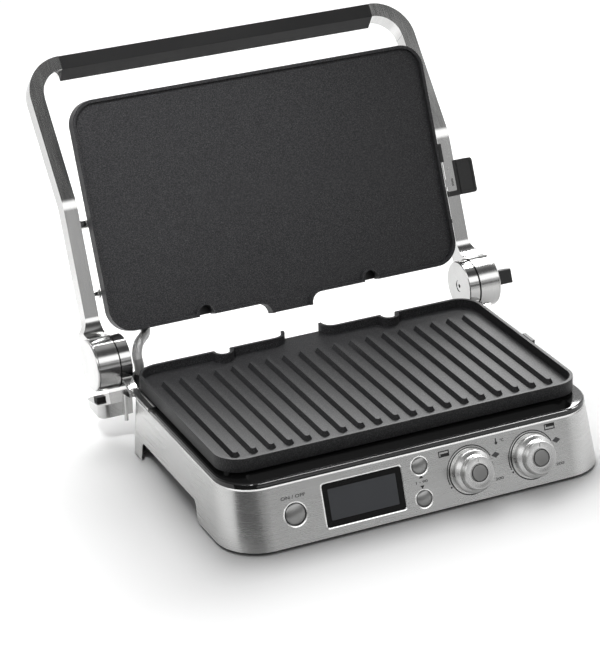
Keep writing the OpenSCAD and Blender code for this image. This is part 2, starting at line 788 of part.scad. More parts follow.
// Turned knob: wall, round shoulder, stepped face dished towards its button, pointer line and shaft
module knob(at) color([0.85, 0.85, 0.85]) on_panel(at) {
  face = knob_r - knob_step;
  bore = knob_push_r + gap;
  difference() {
    rotate_extrude() polygon([
      [0, knob_foot], [knob_r - 0.4, knob_foot], [knob_r, knob_foot + 0.4], [knob_r, knob_h * 0.42],
      [knob_r - 0.3, knob_h * 0.47], [knob_r - 1.2, knob_h * 0.52], [face + 0.4, knob_h * 0.6],
      [face, knob_h * 0.63], [face - 0.6, knob_h - 1], [face - 1.4, knob_h], [face - 2.2, knob_h],
      [bore, knob_h - knob_dish], [bore, knob_h - knob_bore], [0, knob_h - knob_bore]
    ]);
    translate([-0.5, bore + 2.2, knob_h - knob_dish - 0.3]) cube([1, 3.4, 5]);
  }
  translate([0, 0, board_z]) cylinder(r = shaft_r, h = knob_foot - board_z + eps);
}

module knob_left() knob(knob_left_at);
module knob_right() knob(knob_right_at);

// Button in the middle of a knob, with a softly dished face
module knob_button(at) color([0.7, 0.7, 0.7]) on_panel(at) {
  low = knob_h - knob_bore + push + gap;
  high = knob_h - knob_dish + 0.9;
  rotate_extrude() polygon([
    [0, low], [knob_push_r, low], [knob_push_r, high - 0.5], [knob_push_r - 0.5, high],
    [knob_push_r - 1, high], [knob_push_r / 3, high - 0.5], [0, high - 0.5]
  ]);
}

module knob_button_left() knob_button(knob_left_at);
module knob_button_right() knob_button(knob_right_at);

// ---------------------------------------------------------------- rear of the base

module cord_gland() color([0.06, 0.06, 0.06]) translate([cord_x, 0, cord_z]) difference() {
  union() {
    rod_y(base_rear - 8, base_rear + 4, cord_r - slip);
    rod_y(base_rear + 0.2, base_rear + 4, cord_r + 3);
  }
  rod_y(base_rear - 10, base_rear + 10, cord_bore);
}

module terminal_block() color([0.85, 0.85, 0.82]) translate([cord_x - block[0] / 2, block_y, pan_top]) {
  cube(block);
  for (i = [0 : 2]) translate([block[0] * (i + 0.5) / 3, block[1] / 2, block[2] - eps])
    cylinder(r = 2.5, h = 3);
}

// Horizontal branch from the gland through the base's rear corner
module conduit_elbow(r) {
  away = [-elbow_to[0] - conduit_at[0], elbow_to[1] - conduit_at[1]];
  translate([conduit_at[0], conduit_at[1], elbow_z]) rotate([0, 0, atan2(away[1], away[0])])
    rod_x(0, norm(away) - corner_r(elbow_z) + steel_t + wall + 2, r);
}

module conduit_gland() color([0.08, 0.08, 0.08]) difference() {
  union() {
    translate([conduit_at[0], conduit_at[1], gland_low]) cylinder(r = gland_r, h = deck_top - gland_low);
    translate([conduit_at[0], conduit_at[1], deck_top - eps])
      cylinder(r1 = gland_r, r2 = gland_cone[0], h = gland_cone[1]);
    conduit_elbow(elbow_r);
  }
  translate([conduit_at[0], conduit_at[1], elbow_z - elbow_bore])
    cylinder(r = conduit_r + gap, h = through);
  difference() {
    conduit_elbow(elbow_bore);
    translate([conduit_at[0], conduit_at[1], gland_low]) cylinder(r = conduit_r, h = 20);
  }
}

// Smooth point on the route: a Catmull-Rom curve through the chosen points
function route_point(p, i, t) = let (
    a = p[max(i - 1, 0)], b = p[i], c = p[i + 1], d = p[min(i + 2, len(p) - 1)]
  ) 0.5 * (2 * b + (c - a) * t + (2 * a - 5 * b + 4 * c - d) * t * t + (3 * b - a - 3 * c + d) * t * t * t);
function unit(v) = v / norm(v);

// Tube of round section swept along a list of points
module tube(p, r, sides) {
  n = len(p);
  points = [for (i = [0 : n - 1]) let (
      d = unit(p[min(i + 1, n - 1)] - p[max(i - 1, 0)]), u = unit(cross([1, 0, 0], d)), v = cross(d, u)
    ) for (k = [0 : sides - 1]) p[i] + r * (cos(360 * k / sides) * u + sin(360 * k / sides) * v)];
  faces = [
    [for (k = [0 : sides - 1]) k],
    [for (k = [0 : sides - 1]) (n - 1) * sides + sides - 1 - k],
    for (i = [0 : n - 2], k = [0 : sides - 1])
      [i * sides + k, (i + 1) * sides + k, (i + 1) * sides + (k + 1) % sides, i * sides + (k + 1) % sides]
  ];
  polyhedron(points, faces, convexity = 10);
}

module conduit() color([0.35, 0.35, 0.36]) tube(concat(
    [for (i = [0 : len(conduit_route) - 2], t = [0, 0.5]) route_point(conduit_route, i, t)],
    [conduit_route[len(conduit_route) - 1]]
  ), conduit_r, conduit_sides);

// ---------------------------------------------------------------- drip tray

module drip_tray() color([0.1, 0.1, 0.1]) difference() {
  union() {
    translate([-tray_half, tray_rear - tray_l, tray_z]) cube([tray_w, tray_l, tray_h]);
    translate([0, 0, tray_z]) linear_extrude(tray_h + 4)
      rounded(-tray_half - 4, tray_half + 4, tray_rear - tray_flange, tray_rear, 3);
  }
  translate([0, 0, tray_z + wall]) linear_extrude(tray_h + 10)
    rounded(-tray_half + wall, tray_half - wall, tray_rear - tray_l + wall, tray_rear - wall, 2 * wall);
}

// ---------------------------------------------------------------- hinge

// One casting a side: fixed disc, neck, strip on the deck and shelf behind the base
module hinge_bracket(s) color([0.75, 0.75, 0.76]) on_side(s) difference() {
  union() {
    translate([0, hinge_y, hinge_z]) disc(disc_x, disc_x + disc_t, disc_r, hinge_chamfer, 0);
    // neck between the deck strip, the disc and the shelf
    along_x(neck_x, disc_x + disc_t) polygon([
      [shelf_front - 22, deck_top], [shelf_front - 3, hinge_z - 8], [hinge_y, hinge_z],
      [shelf_rear, hinge_z - 10], [shelf_rear, shelf_low], [shelf_front, shelf_low],
      [shelf_front, deck_top - 8], [shelf_front - 22, deck_top - 3.5]
    ]);
    // strip along the deck's edge, with a rim round its hollow top
    translate([neck_x, strip_front, deck_top]) difference() {
      cube([strip_w, strip_rear - strip_front, strip_h]);
      translate([strip_rim, strip_rim, strip_h - 1])
        cube([strip_w - 2 * strip_rim, strip_rear - strip_front, 2]);
    }
    // shelf outside the arm's drum, and its lipped top
    intersection() {
      along_x(neck_x, shelf_end) shelf_side(shelf_low, -shelf_lip);
      linear_extrude(through)
        rounded(neck_x - 20, shelf_end - shelf_lip_out, shelf_front + shelf_lip_out, shelf_rear, shelf_r);
    }
    intersection() {
      along_x(neck_x, shelf_end) shelf_side(shelf_top - shelf_fall - shelf_lip - 2, 0);
      along_x(neck_x, shelf_end) translate([0, -shelf_lip - eps]) shelf_band();
      linear_extrude(through) rounded(neck_x - 20, shelf_end, shelf_front, shelf_rear, shelf_r);
    }
    translate([post_x, shelf_front, post_low]) cylinder(r = post_r, h = hinge_z - post_low - 18);
  }
  taper(20, deck_top - eps, -gap);
  taper(20, neck_low, -2.5);
  translate([0, hinge_y, hinge_z]) rod_x(disc_x - 10, disc_x + 50, axle_r + slip);
}

// Side view of the shelf between a level underside and its sloping top, raised by h
module shelf_side(low, h) polygon([
  [shelf_front, low], [shelf_front, shelf_top + h],
  [shelf_rear, shelf_top - shelf_fall + h], [shelf_rear, low]
]);

// Band above the shelf's slope
module shelf_band() polygon([
  [shelf_front, shelf_top], [shelf_front, shelf_top + 20],
  [shelf_rear, shelf_top + 20], [shelf_rear, shelf_top - shelf_fall]
]);

module hinge_bracket_left() hinge_bracket(-1);
module hinge_bracket_right() hinge_bracket(1);

module hinge_axle(s) color([0.6, 0.6, 0.62]) on_side(s) translate([0, hinge_y, hinge_z]) difference() {
  rod_x(disc_x + axle_in, axle_end, axle_r);
  rod_x(disc_x, disc_x + 4, socket_r, $fn = 6);
}

module hinge_axle_left() hinge_axle(-1);
module hinge_axle_right() hinge_axle(1);

module shelf_pads() color([0.03, 0.03, 0.03]) for (s = [-1, 1]) on_side(s) intersection() {
  translate([pad_at[0], pad_at[1], shelf_low])
    cube([pad_size[0], pad_size[1], hinge_z - drum_r - shelf_low]);
  along_x(pad_at[0] - 1, pad_at[0] + pad_size[0] + 1) difference() {
    translate([0, slip]) shelf_band();
    translate([0, slip + pad_size[2]]) shelf_band();
  }
}

// Side view of an arm: drum, neck, straight part, round bend and the start of the upper part
module arm_profile() {
  tangent = knee_r * tan(knee_a / 2);
  along = [cos(knee_a), -sin(knee_a)];
  across = [sin(knee_a), cos(knee_a)];
  front_end = [knee_y, -arm_back] + upper_start * along;
  difference() {
    union() {
      polygon(concat(
        [[0, -arm_back], [0, -drum_r], [hub_taper, -arm_back - arm_d],
          [knee_y - arm_d * tan(knee_a / 2), -arm_back - arm_d], front_end - arm_d * across, front_end],
        [for (i = [bend_n : -1 : 0]) [knee_y - tangent, -arm_back - knee_r]
          + knee_r * [sin(knee_a * i / bend_n), cos(knee_a * i / bend_n)]]
      ));
      circle(drum_r);
      translate([0, -arm_back - 4]) square([neck_y, neck_r + 4 - eps]);
    }
    translate([neck_y, -arm_back + neck_r]) circle(neck_r);
  }
}

// Front view of an arm's upper part: bar, round corner and the end that meets the grip
module arm_corner() {
  corner_x = arm_x + arm_w - bend_r;
  corner_y = upper_l - bend_r;
  difference() {
    union() {
      translate([arm_x, 20]) square([arm_w, corner_y - 20]);
      difference() {
        translate([grip_x, corner_y]) square([arm_x + arm_w - grip_x, bend_r]);
        difference() {
          translate([corner_x, corner_y]) square([bend_r + 1, bend_r + 1]);
          translate([corner_x, corner_y]) circle(bend_r);
        }
      }
    }
    translate([corner_x, corner_y]) circle(bend_r - bar_h);
    square([arm_x, corner_y]);
    square([corner_x, upper_l - bar_h]);
  }
}

module arm(s) color([0.78, 0.78, 0.79]) in_lid() on_side(s) difference() {
  union() {
    along_x(arm_x, arm_x + arm_w) arm_profile();
    rod_x(hub_x, drum_end, drum_r);
    // flare from the drum out of the arm
    difference() {
      translate([arm_x + arm_w - 2, 10, -drum_r + 1])
        cube([drum_end - arm_x - arm_w + 2, neck_y - 10, 2 * drum_r - 18]);
      translate([arm_x + arm_w + neck_r, neck_y, -50]) cylinder(r = neck_r, h = 100);
      translate([arm_x, neck_y, -arm_back + neck_r]) rod_x(-5, 40, neck_r);
    }
    in_upper_arm() translate([0, 0, -arm_d]) linear_extrude(arm_d) arm_corner();
  }
  rod_x(hub_x - 1, axle_end + 0.5, axle_r + run);
  translate([0, pivot_y, -pivot_z]) rod_x(arm_x - 1, arm_x + pin_in + 0.4, pivot_r + run / 2);
  // slot for the lid's stop pin, open to the back
  translate([arm_x - 1, stop_y - stop_r - 1, -arm_back - arm_d - 1])
    cube([6, 2 * stop_r + 2, arm_d + arm_back - pivot_z + stop_r + gap + 1]);
  if (s > 0) release_hole(axle_end + 1.5);
  in_upper_arm() translate([0, grip_rod_y, grip_rod_z]) rod_x(grip_x - 1, grip_x + rod_in, rod_r + slip);
}

module arm_left() arm(-1);
module arm_right() arm(1);

// Square hole for the release button, from x outward
module release_hole(x) translate([x, -release_w / 2 - gap, -release_w / 2 - gap])
  cube([30, release_w + 2 * gap, release_w + 2 * gap]);

module hub_cap(s) color([0.8, 0.8, 0.8]) in_lid() on_side(s) difference() {
  disc(drum_end, drum_end + cap_t, drum_r - 0.6, 0, hinge_chamfer);
  if (s > 0) release_hole(drum_end - 1);
}

module hub_cap_left() hub_cap(-1);
module hub_cap_right() hub_cap(1);

module hinge_release() color([0.07, 0.07, 0.07]) in_lid()
  along_x(axle_end + 4 + release_in, drum_end + cap_t + release_out)
    centred(release_w, release_w, 1.5);

module handle_rod() color([0.55, 0.55, 0.57]) in_lid() in_upper_arm()
  translate([0, grip_rod_y, grip_rod_z]) rod_x(-grip_x - rod_in + 0.5, grip_x + rod_in - 0.5, rod_r);

module handle_grip() color([0.08, 0.08, 0.08]) in_lid() in_upper_arm() difference() {
  along_x(-grip_x + slip, grip_x - slip) polygon([
    [upper_l, 0], [upper_l - bar_h, 0], [upper_l - grip_back_h, -arm_d], [upper_l, -arm_d]
  ]);
  translate([0, grip_rod_y, grip_rod_z]) rod_x(-grip_x - 1, grip_x + 1, rod_r + slip);
}

module pivot_pins() color([0.6, 0.6, 0.62]) in_lid() for (s = [-1, 1]) on_side(s)
  translate([0, pivot_y, -pivot_z]) rod_x(boss_in + 0.5, arm_x + pin_in, pivot_r);

// ---------------------------------------------------------------- height slider on the right arm

// Slider: a tab beside the arm with a sunk face, and a tongue over the arm's front
module height_slider() color([0.07, 0.07, 0.07]) in_lid() {
  side_x = arm_x + arm_w + gap;
  low = -arm_back - arm_d + 1;
  translate([0, 0, low]) difference() {
    linear_extrude(arm_d + 3.5) rounded(side_x, slider_out, slider_y0, slider_y1 - 4, slider_r);
    translate([0, 0, arm_d + 3.5 - slider_dent]) linear_extrude(10)
      rounded(side_x + slider_face, slider_out - slider_face, slider_y0 + slider_face,
        slider_y1 - 4 - slider_face, slider_r - 1);
  }
  translate([arm_x + 1, slider_y0, -arm_back + gap]) cube([arm_w, 5, 3]);
  translate([arm_x + arm_w - 3, slider_y0, -arm_back + gap]) cube([5, slider_y1 - slider_y0 - 4, 3]);
}

// Bright clip that the slider carries: a bent strip with a window and its rivet
module slider_clip() color([0.85, 0.85, 0.85]) in_lid() {
  low = slider_y0 + 5 + slip;
  translate([arm_x + 0.4, 0, -arm_back + gap]) {
    linear_extrude(clip_t) difference() {
      rounded(0, clip_w, low, slider_y1, 1.5);
      translate([-1, low + clip_foot]) square([clip_w - 1.5, slider_y0 + 18 - low - clip_foot]);
    }
    translate([6, slider_y0 + 28, 0]) cylinder(r = 1.8, h = clip_t + 0.8);
  }
}

// ---------------------------------------------------------------- lid

module lid_slab(z, half, y0, y1, r)
  for (x = [-1, 1], y = [y0 + r, y1 - r]) translate([x * (half - r), y, z])
    cylinder(r = r, h = eps, $fn = hull_fn);

// Domed body of the lid's cover, drawn in by t
module dome(t) hull() {
  lid_slab(cover_z - eps + (t > 0 ? 1 : 0), lid_half - t, lid_y0 + t, lid_y1 - t, plate_r);
  lid_slab(cover_z - 14, lid_half - 6.5 - t, lid_y0 + 5 + t, lid_y1 - 5 - t, plate_r);
  lid_slab(-cover_h + t, lid_half - 30 - t, lid_y0 + 26 + t, lid_y1 - 22 - t, plate_r);
}

module lid_cover() color([0.8, 0.8, 0.79]) in_lid() difference() {
  dome(0);
  dome(cover_t);
  for (s = [-1, 1]) on_side(s) {
    translate([0, pivot_y, -pivot_z]) rod_x(boss_out, through, pivot_r + gap);
    translate([0, stop_y, -pivot_z]) rod_x(boss_out, through, stop_r + slip);
  }
  translate([grommet_x, 0, grommet_z]) rod_y(0, lid_mid / 2, grommet_r + slip);
}

module lid_frame() color([0.08, 0.08, 0.08]) in_lid() difference() {
  union() {
    translate([0, 0, cover_z]) linear_extrude(frame_t) difference() {
      rounded(-lid_half, lid_half, lid_y0, lid_y1, plate_r);
      rounded(-lid_open_x, lid_open_x, lid_open_y0, lid_open_y1, lid_open_r);
    }
    for (s = [-1, 1], y = [pivot_y, stop_y]) on_side(s) translate([boss_in, y - boss_w / 2, -boss_low])
      cube([boss_out - boss_in, boss_w, boss_low + cover_z + eps]);
  }
  for (s = [-1, 1]) on_side(s) {
    translate([0, pivot_y, -pivot_z]) rod_x(boss_in - 1, through, pivot_r + run);
    translate([0, stop_y, -pivot_z]) rod_x(boss_in - 1, through, stop_r + run);
  }
  translate([upper_leg_x - 1 - 2 * gap, catch_lid_y - catch_len / 2 - gap, cover_z - 1])
    cube([20, catch_len + 2 * gap, frame_t + 2]);
}

module upper_reflector() color([0.72, 0.72, 0.73])
  in_lid() translate([0, 0, frame_z - upper_bowl_d]) difference() {
    linear_extrude(upper_bowl_d)
      rounded(-lid_open_x + slip, lid_open_x - slip, lid_open_y0 + slip, lid_open_y1 - slip, lid_open_r);
    translate([0, 0, bowl_t]) linear_extrude(upper_bowl_d)
      rounded(-lid_open_x + 1, lid_open_x - 1, lid_open_y0 + 1, lid_open_y1 - 1, lid_open_r - 1);
  }

module upper_heater() color([0.25, 0.25, 0.26]) in_lid() translate([0, lid_mid, upper_heater_z]) heater();

module upper_heater_supports() color([0.6, 0.6, 0.6]) in_lid() translate([0, lid_mid, upper_heater_z])
  heater_supports(upper_heater_z - frame_z + upper_bowl_d - bowl_t);

module upper_sensor() color([0.75, 0.72, 0.65]) in_lid()
  translate([0, lid_mid, frame_z - upper_bowl_d + bowl_t])
    sensor(upper_bowl_d - bowl_t + plate_h - upper_dish - plate_t);

module stop_pins() color([0.6, 0.6, 0.62]) in_lid() for (s = [-1, 1]) on_side(s)
  translate([0, stop_y, -pivot_z]) {
    rod_x(boss_in + 0.5, arm_x + pin_in, stop_r);
    rod_x(lid_half - 0.3, lid_half + 1.5, stop_r + stop_washer);
  }

module lid_grommet() color([0.06, 0.06, 0.06]) in_lid() translate([grommet_x, 0, grommet_z]) difference() {
  rod_y(lid_y0 - 0.5, lid_y0 + grommet_l, grommet_r);
  rod_y(0, lid_y0 + grommet_l + 1, conduit_r + gap);
  translate([0, lid_y0 - 1, 0]) rotate([-90, 0, 0])
    cylinder(r1 = grommet_r + 0.4, r2 = conduit_r + gap, h = grommet_mouth);
}

// The catch of the upper plate: a leg through the lid's frame and a pad beside the plate
module upper_catch() color([0.06, 0.06, 0.06]) in_lid() translate([0, catch_lid_y, 0]) {
  translate([upper_leg_x, -catch_len / 2, cover_z + gap])
    cube([upper_catch_x + catch_t - upper_leg_x, catch_len, frame_t - 2 * gap]);
  translate([upper_catch_x, -catch_len / 2, cover_z + gap]) cube([catch_t, catch_len, frame_t + 8]);
  translate([upper_catch_x, -catch_pad[1] / 2, frame_z + 3]) cube(catch_pad);
}

// ---------------------------------------------------------------- assembly

steel_wrap();
floor_pan();
rubber_feet();
deck_frame();
lower_reflector();
lower_heater();
lower_heater_supports();
lower_sensor();
panel_carrier();
control_board();
encoder_left();
encoder_right();
display_bezel();
display_glass();
display_module();
start_ring();
knob_ring_left();
knob_ring_right();
hinge_bracket_left();
hinge_bracket_right();
hinge_axle_left();
hinge_axle_right();
shelf_pads();
conduit_gland();
conduit();
cord_gland();
terminal_block();
lower_plate();
lower_catch();
drip_tray();
knob_left();
knob_right();
knob_button_left();
knob_button_right();
start_button();
timer_up_button();
timer_down_button();
arm_left();
arm_right();
hub_cap_left();
hub_cap_right();
handle_rod();
handle_grip();
pivot_pins();
height_slider();
slider_clip();
hinge_release();
lid_frame();
lid_cover();
upper_reflector();
upper_heater();
upper_heater_supports();
upper_sensor();
stop_pins();
lid_grommet();
upper_plate();
upper_catch();
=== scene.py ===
"""Studio view of an open contact grill: finishes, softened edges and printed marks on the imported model."""
import json
import math

import bmesh
import bpy
from mathutils import Matrix, Vector

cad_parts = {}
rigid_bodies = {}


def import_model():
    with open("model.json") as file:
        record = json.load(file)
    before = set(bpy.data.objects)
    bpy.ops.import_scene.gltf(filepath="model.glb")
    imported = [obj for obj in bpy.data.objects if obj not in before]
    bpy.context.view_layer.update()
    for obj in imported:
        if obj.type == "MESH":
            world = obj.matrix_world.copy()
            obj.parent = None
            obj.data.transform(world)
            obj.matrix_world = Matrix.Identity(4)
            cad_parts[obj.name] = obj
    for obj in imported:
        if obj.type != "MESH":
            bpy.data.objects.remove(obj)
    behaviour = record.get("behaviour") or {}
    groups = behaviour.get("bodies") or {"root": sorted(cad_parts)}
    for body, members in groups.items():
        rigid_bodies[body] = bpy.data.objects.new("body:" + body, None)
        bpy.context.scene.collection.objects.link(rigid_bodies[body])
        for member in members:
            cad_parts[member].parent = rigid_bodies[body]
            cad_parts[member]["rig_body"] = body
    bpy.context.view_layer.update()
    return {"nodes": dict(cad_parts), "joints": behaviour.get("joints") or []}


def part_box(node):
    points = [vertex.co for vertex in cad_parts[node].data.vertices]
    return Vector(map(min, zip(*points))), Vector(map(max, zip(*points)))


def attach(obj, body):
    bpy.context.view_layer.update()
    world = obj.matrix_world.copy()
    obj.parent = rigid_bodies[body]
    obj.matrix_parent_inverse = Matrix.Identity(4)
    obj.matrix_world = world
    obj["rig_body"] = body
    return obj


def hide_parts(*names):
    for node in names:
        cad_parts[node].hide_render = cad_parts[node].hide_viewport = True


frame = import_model()
nodes = frame["nodes"]
MM = 0.001
WELD = 0.01 * MM

# ------------------------------------------------------------------ frame

def joint(name):
    return next(j for j in frame["joints"] if j["name"] == name)


PANEL_OUT = -Vector(joint("start_press")["axis"]).normalized()
PANEL_UP = PANEL_OUT.cross(Vector((1, 0, 0)))


def panel_frame():
    """Matrix of the leaning front panel: X right, Y up the slope, Z outward, origin at its top edge."""
    low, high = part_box("steel_wrap")
    foot = Vector((0, low.y, low.z))
    top = foot + PANEL_UP * (high.z - low.z) / PANEL_UP.z
    turn = Matrix((Vector((1, 0, 0)), PANEL_UP, PANEL_OUT)).transposed().to_4x4()
    return Matrix.Translation(top) @ turn


# ------------------------------------------------------------------ mesh helpers

def link(name, data):
    """Puts a mesh, lamp or camera into the scene as a new object."""
    made = bpy.data.objects.new(name, data)
    bpy.context.scene.collection.objects.link(made)
    return made


def build(name, mesh, material, place=None):
    """Turns a bmesh into an object with one material, moved by a matrix if one is given."""
    data = bpy.data.meshes.new(name)
    mesh.to_mesh(data)
    mesh.free()
    if place:
        data.transform(place)
    data.materials.append(material)
    return link(name, data)


def write_back(piece, mesh):
    """Shades all faces of a bmesh smooth and gives it back to its object."""
    for face in mesh.faces:
        face.smooth = True
    mesh.to_mesh(piece.data)
    mesh.free()


def sharpen(mesh, angle):
    """Keeps smooth only the edges that fold by less than an angle in degrees."""
    for edge in mesh.edges:
        edge.smooth = len(edge.link_faces) == 2 and edge.calc_face_angle() < math.radians(angle)


def cut_level(mesh, point, normal):
    """Adds edges where a plane crosses the mesh, without removing anything."""
    parts = mesh.verts[:] + mesh.edges[:] + mesh.faces[:]
    bmesh.ops.bisect_plane(mesh, geom=parts, plane_co=point, plane_no=normal)


def around(count):
    """Cosine and sine of even steps round a circle."""
    return [(math.cos(math.tau * k / count), math.sin(math.tau * k / count)) for k in range(count)]


def close_rows(mesh, rows):
    """Joins each row of points to the next with faces, and the last row to the first."""
    for near_row, far_row in zip(rows, rows[1:] + rows[:1]):
        for k in range(len(near_row)):
            n = (k + 1) % len(near_row)
            mesh.faces.new((near_row[k], far_row[k], far_row[n], near_row[n]))


# ------------------------------------------------------------------ shader helpers

def add_node(tree, kind, *links, **settings):
    """Adds a shader node. Links are (socket, value or output); settings are its properties."""
    made = tree.nodes.new("ShaderNode" + kind)
    for setting, value in settings.items():
        setattr(made, setting, value)
    for socket, value in links:
        if isinstance(value, bpy.types.NodeSocket):
            tree.links.new(value, made.inputs[socket])
        else:
            made.inputs[socket].default_value = value
    return made


class Shader:
    """A material with one Principled shader and short calls that add nodes to it."""

    def __init__(self, name, **sockets):
        self.material = bpy.data.materials.new(name)
        self.material.use_nodes = True
        self.tree = self.material.node_tree
        self.principled = self.tree.nodes["Principled BSDF"]
        for socket, value in sockets.items():
            self.principled.inputs[socket.replace("_", " ")].default_value = value

    def node(self, kind, *links, **settings):
        return add_node(self.tree, kind, *links, **settings)

    def place(self, stretch=(1, 1, 1), turn=(0, 0, 0)):
        """Object coordinates, turned and then stretched."""
        coordinates = self.node("TexCoord").outputs["Object"]
        turned = self.node("Mapping", (0, coordinates), (2, turn)).outputs[0]
        return self.node("VectorMath", (0, turned), (1, stretch), operation="MULTIPLY").outputs[0]

    def noise(self, vector, scale, detail=3.0):
        return self.node("TexNoise", ("Vector", vector), ("Scale", scale), ("Detail", detail)).outputs["Fac"]

    def span(self, value, low, high, start=0.3, end=0.7):
        """Maps a value from start..end onto low..high."""
        return self.node("MapRange", (0, value), (1, start), (2, end), (3, low), (4, high)).outputs[0]

    def blend(self, factor, a, b):
        made = self.node("Mix", (0, factor), data_type="RGBA")
        made.inputs[6].default_value = (*a, 1)
        made.inputs[7].default_value = (*b, 1)
        return made.outputs[2]

    def bump(self, height, distance, strength=1.0):
        made = self.node("Bump", ("Strength", strength), ("Distance", distance), ("Height", height))
        return made.outputs["Normal"]

    def drive(self, socket, value):
        self.tree.links.new(value, self.principled.inputs[socket])


def grained(name, dark, light, rough, grain, stretch=(1, 1, 1), bump=0.0, octaves=4.0, **sockets):
    """A surface whose colour, roughness and height follow one stretched grain, with broad smudges over it."""
    s = Shader(name, **sockets)
    fine = s.noise(s.place(stretch), grain, octaves)
    broad = s.noise(s.place(), 14.0, 2.0)
    mixed = s.node("Math", (0, fine), (1, broad), operation="ADD").outputs[0]
    s.drive("Base Color", s.blend(s.span(fine, 0, 1), dark, light))
    s.drive("Roughness", s.span(mixed, rough[0], rough[1], 0.75, 1.25))
    if bump:
        s.drive("Normal", s.bump(fine, bump))
    return s.material


# ------------------------------------------------------------------ materials

def brushed_steel():
    """Sheet steel brushed along the housing: fine level streaks and stretched gloss."""
    return grained(
        "brushed_steel", (0.59, 0.59, 0.585), (0.62, 0.62, 0.615), (0.26, 0.29), 1.0,
        stretch=(22, 22, 2600), bump=0.00000012, octaves=1.0, Metallic=1.0, Anisotropic=0.4,
    )


def satin_metal(name, tone, rough, stretch=(60, 60, 60), bump=0.000003):
    shade = tuple(tone * k for k in (1.0, 1.0, 0.99))
    dim = tuple(0.92 * c for c in shade)
    return grained(name, dim, shade, rough, 1.0, stretch=stretch, bump=bump, Metallic=1.0)


def coated_casting():
    """Non-stick coat on cast aluminium: dark grey with a fine pebbled skin and pale flecks."""
    s = Shader("coated_casting", Specular_IOR_Level=0.3)
    place = s.place()
    pebble = s.noise(place, 1500.0, 2.0)
    fleck = s.noise(place, 1250.0, 3.0)
    cloud = s.noise(place, 9.0, 3.0)
    base = s.blend(s.span(fleck, 0, 1, 0.45, 0.78), (0.009, 0.009, 0.010), (0.070, 0.070, 0.072))
    s.drive("Base Color", base)
    s.drive("Roughness", s.span(cloud, 0.42, 0.5))
    s.drive("Normal", s.bump(pebble, 0.00006, 0.6))
    return s.material


def plastic(name, tone, rough, grain=2200.0, bump=0.00001, **sockets):
    shade = (tone, tone, tone * 1.02)
    lift = tuple(1.35 * c for c in shade)
    return grained(name, shade, lift, rough, grain, bump=bump, **sockets)


def spun_metal(name, node, axis):
    """Turned metal: fine rings round the axis of one round piece, with stretched gloss."""
    low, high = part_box(node)
    centre = (low + high) / 2
    s = Shader(name, Metallic=1.0, Anisotropic=0.6)
    coordinates = s.node("TexCoord").outputs["Object"]
    away = s.node("VectorMath", (0, coordinates), (1, centre), operation="SUBTRACT").outputs[0]
    around = s.node("VectorMath", (0, axis), (1, away), operation="CROSS_PRODUCT").outputs[0]
    radius = s.node("VectorMath", (0, around), operation="LENGTH").outputs["Value"]
    rings = s.node(
        "TexNoise", ("W", radius), ("Scale", 4200.0), ("Detail", 2.0), noise_dimensions="1D"
    ).outputs["Fac"]
    s.drive("Base Color", s.blend(s.span(rings, 0, 1), (0.60, 0.60, 0.595), (0.72, 0.72, 0.715)))
    s.drive("Roughness", s.span(rings, 0.24, 0.34))
    s.drive("Normal", s.bump(rings, 0.000006))
    s.drive("Tangent", around)
    return s.material


STEEL = brushed_steel()
ARM = satin_metal("satin_arms", 0.62, (0.13, 0.22), stretch=(1400, 45, 45), bump=0.000001)
POLISHED = satin_metal("polished_metal", 0.60, (0.09, 0.16), bump=0.0000015)
COAT = coated_casting()
DECK = plastic("gloss_black", 0.006, (0.07, 0.14), Coat_Weight=0.3)
BLACK = plastic("matt_black", 0.008, (0.34, 0.46), bump=0.00002)
GRIP = plastic("grip_black", 0.008, (0.34, 0.46), bump=0.00002, Specular_IOR_Level=0.2)
# Near-black matt material for the painted shade in the gaps beside the hinge drums.
GAP_SHADE = plastic("painted_gap_shade", 0.003, (0.6, 0.7), Specular_IOR_Level=0.05)
DARK = plastic("inner_black", 0.02, (0.5, 0.6))
RUBBER = plastic("rubber", 0.014, (0.6, 0.75), bump=0.00003)
GREY_METAL = satin_metal("grey_metal", 0.42, (0.3, 0.42))
BRIGHT_SHEET = satin_metal("bright_sheet", 0.62, (0.25, 0.36))
BUTTON = satin_metal("satin_button", 0.30, (0.26, 0.34))
# Metal brighter than the steel, for round edges and rims: a painted highlight along them.
EDGE_HIGHLIGHT = satin_metal("painted_edge_highlight", 0.92, (0.2, 0.28))
RING = satin_metal("bright_ring", 0.74, (0.16, 0.22))
ELEMENT = satin_metal("element_sheath", 0.16, (0.4, 0.55), bump=0.00001)
CERAMIC = grained("ceramic", (0.55, 0.52, 0.46), (0.66, 0.63, 0.57), (0.4, 0.5), 600.0)
BOARD = grained("board_green", (0.02, 0.09, 0.05), (0.03, 0.12, 0.07), (0.35, 0.45), 300.0)
BEZEL = plastic("bezel_black", 0.004, (0.2, 0.3), Specular_IOR_Level=0.2)
# Black ink for print, used too for the rings of painted shade round the knobs and push buttons.
INK_AND_SHADE = plastic("panel_ink", 0.008, (0.35, 0.45))
INK_GREY = plastic("panel_ink_grey", 0.09, (0.35, 0.45))


def display_glass():
    s = Shader("display_glass", Roughness=0.12, Specular_IOR_Level=0.6)
    fade = s.noise(s.place(), 18.0, 1.0)
    s.drive("Base Color", s.blend(s.span(fade, 0, 1), (0.052, 0.056, 0.064), (0.060, 0.064, 0.072)))
    return s.material


GLASS = display_glass()


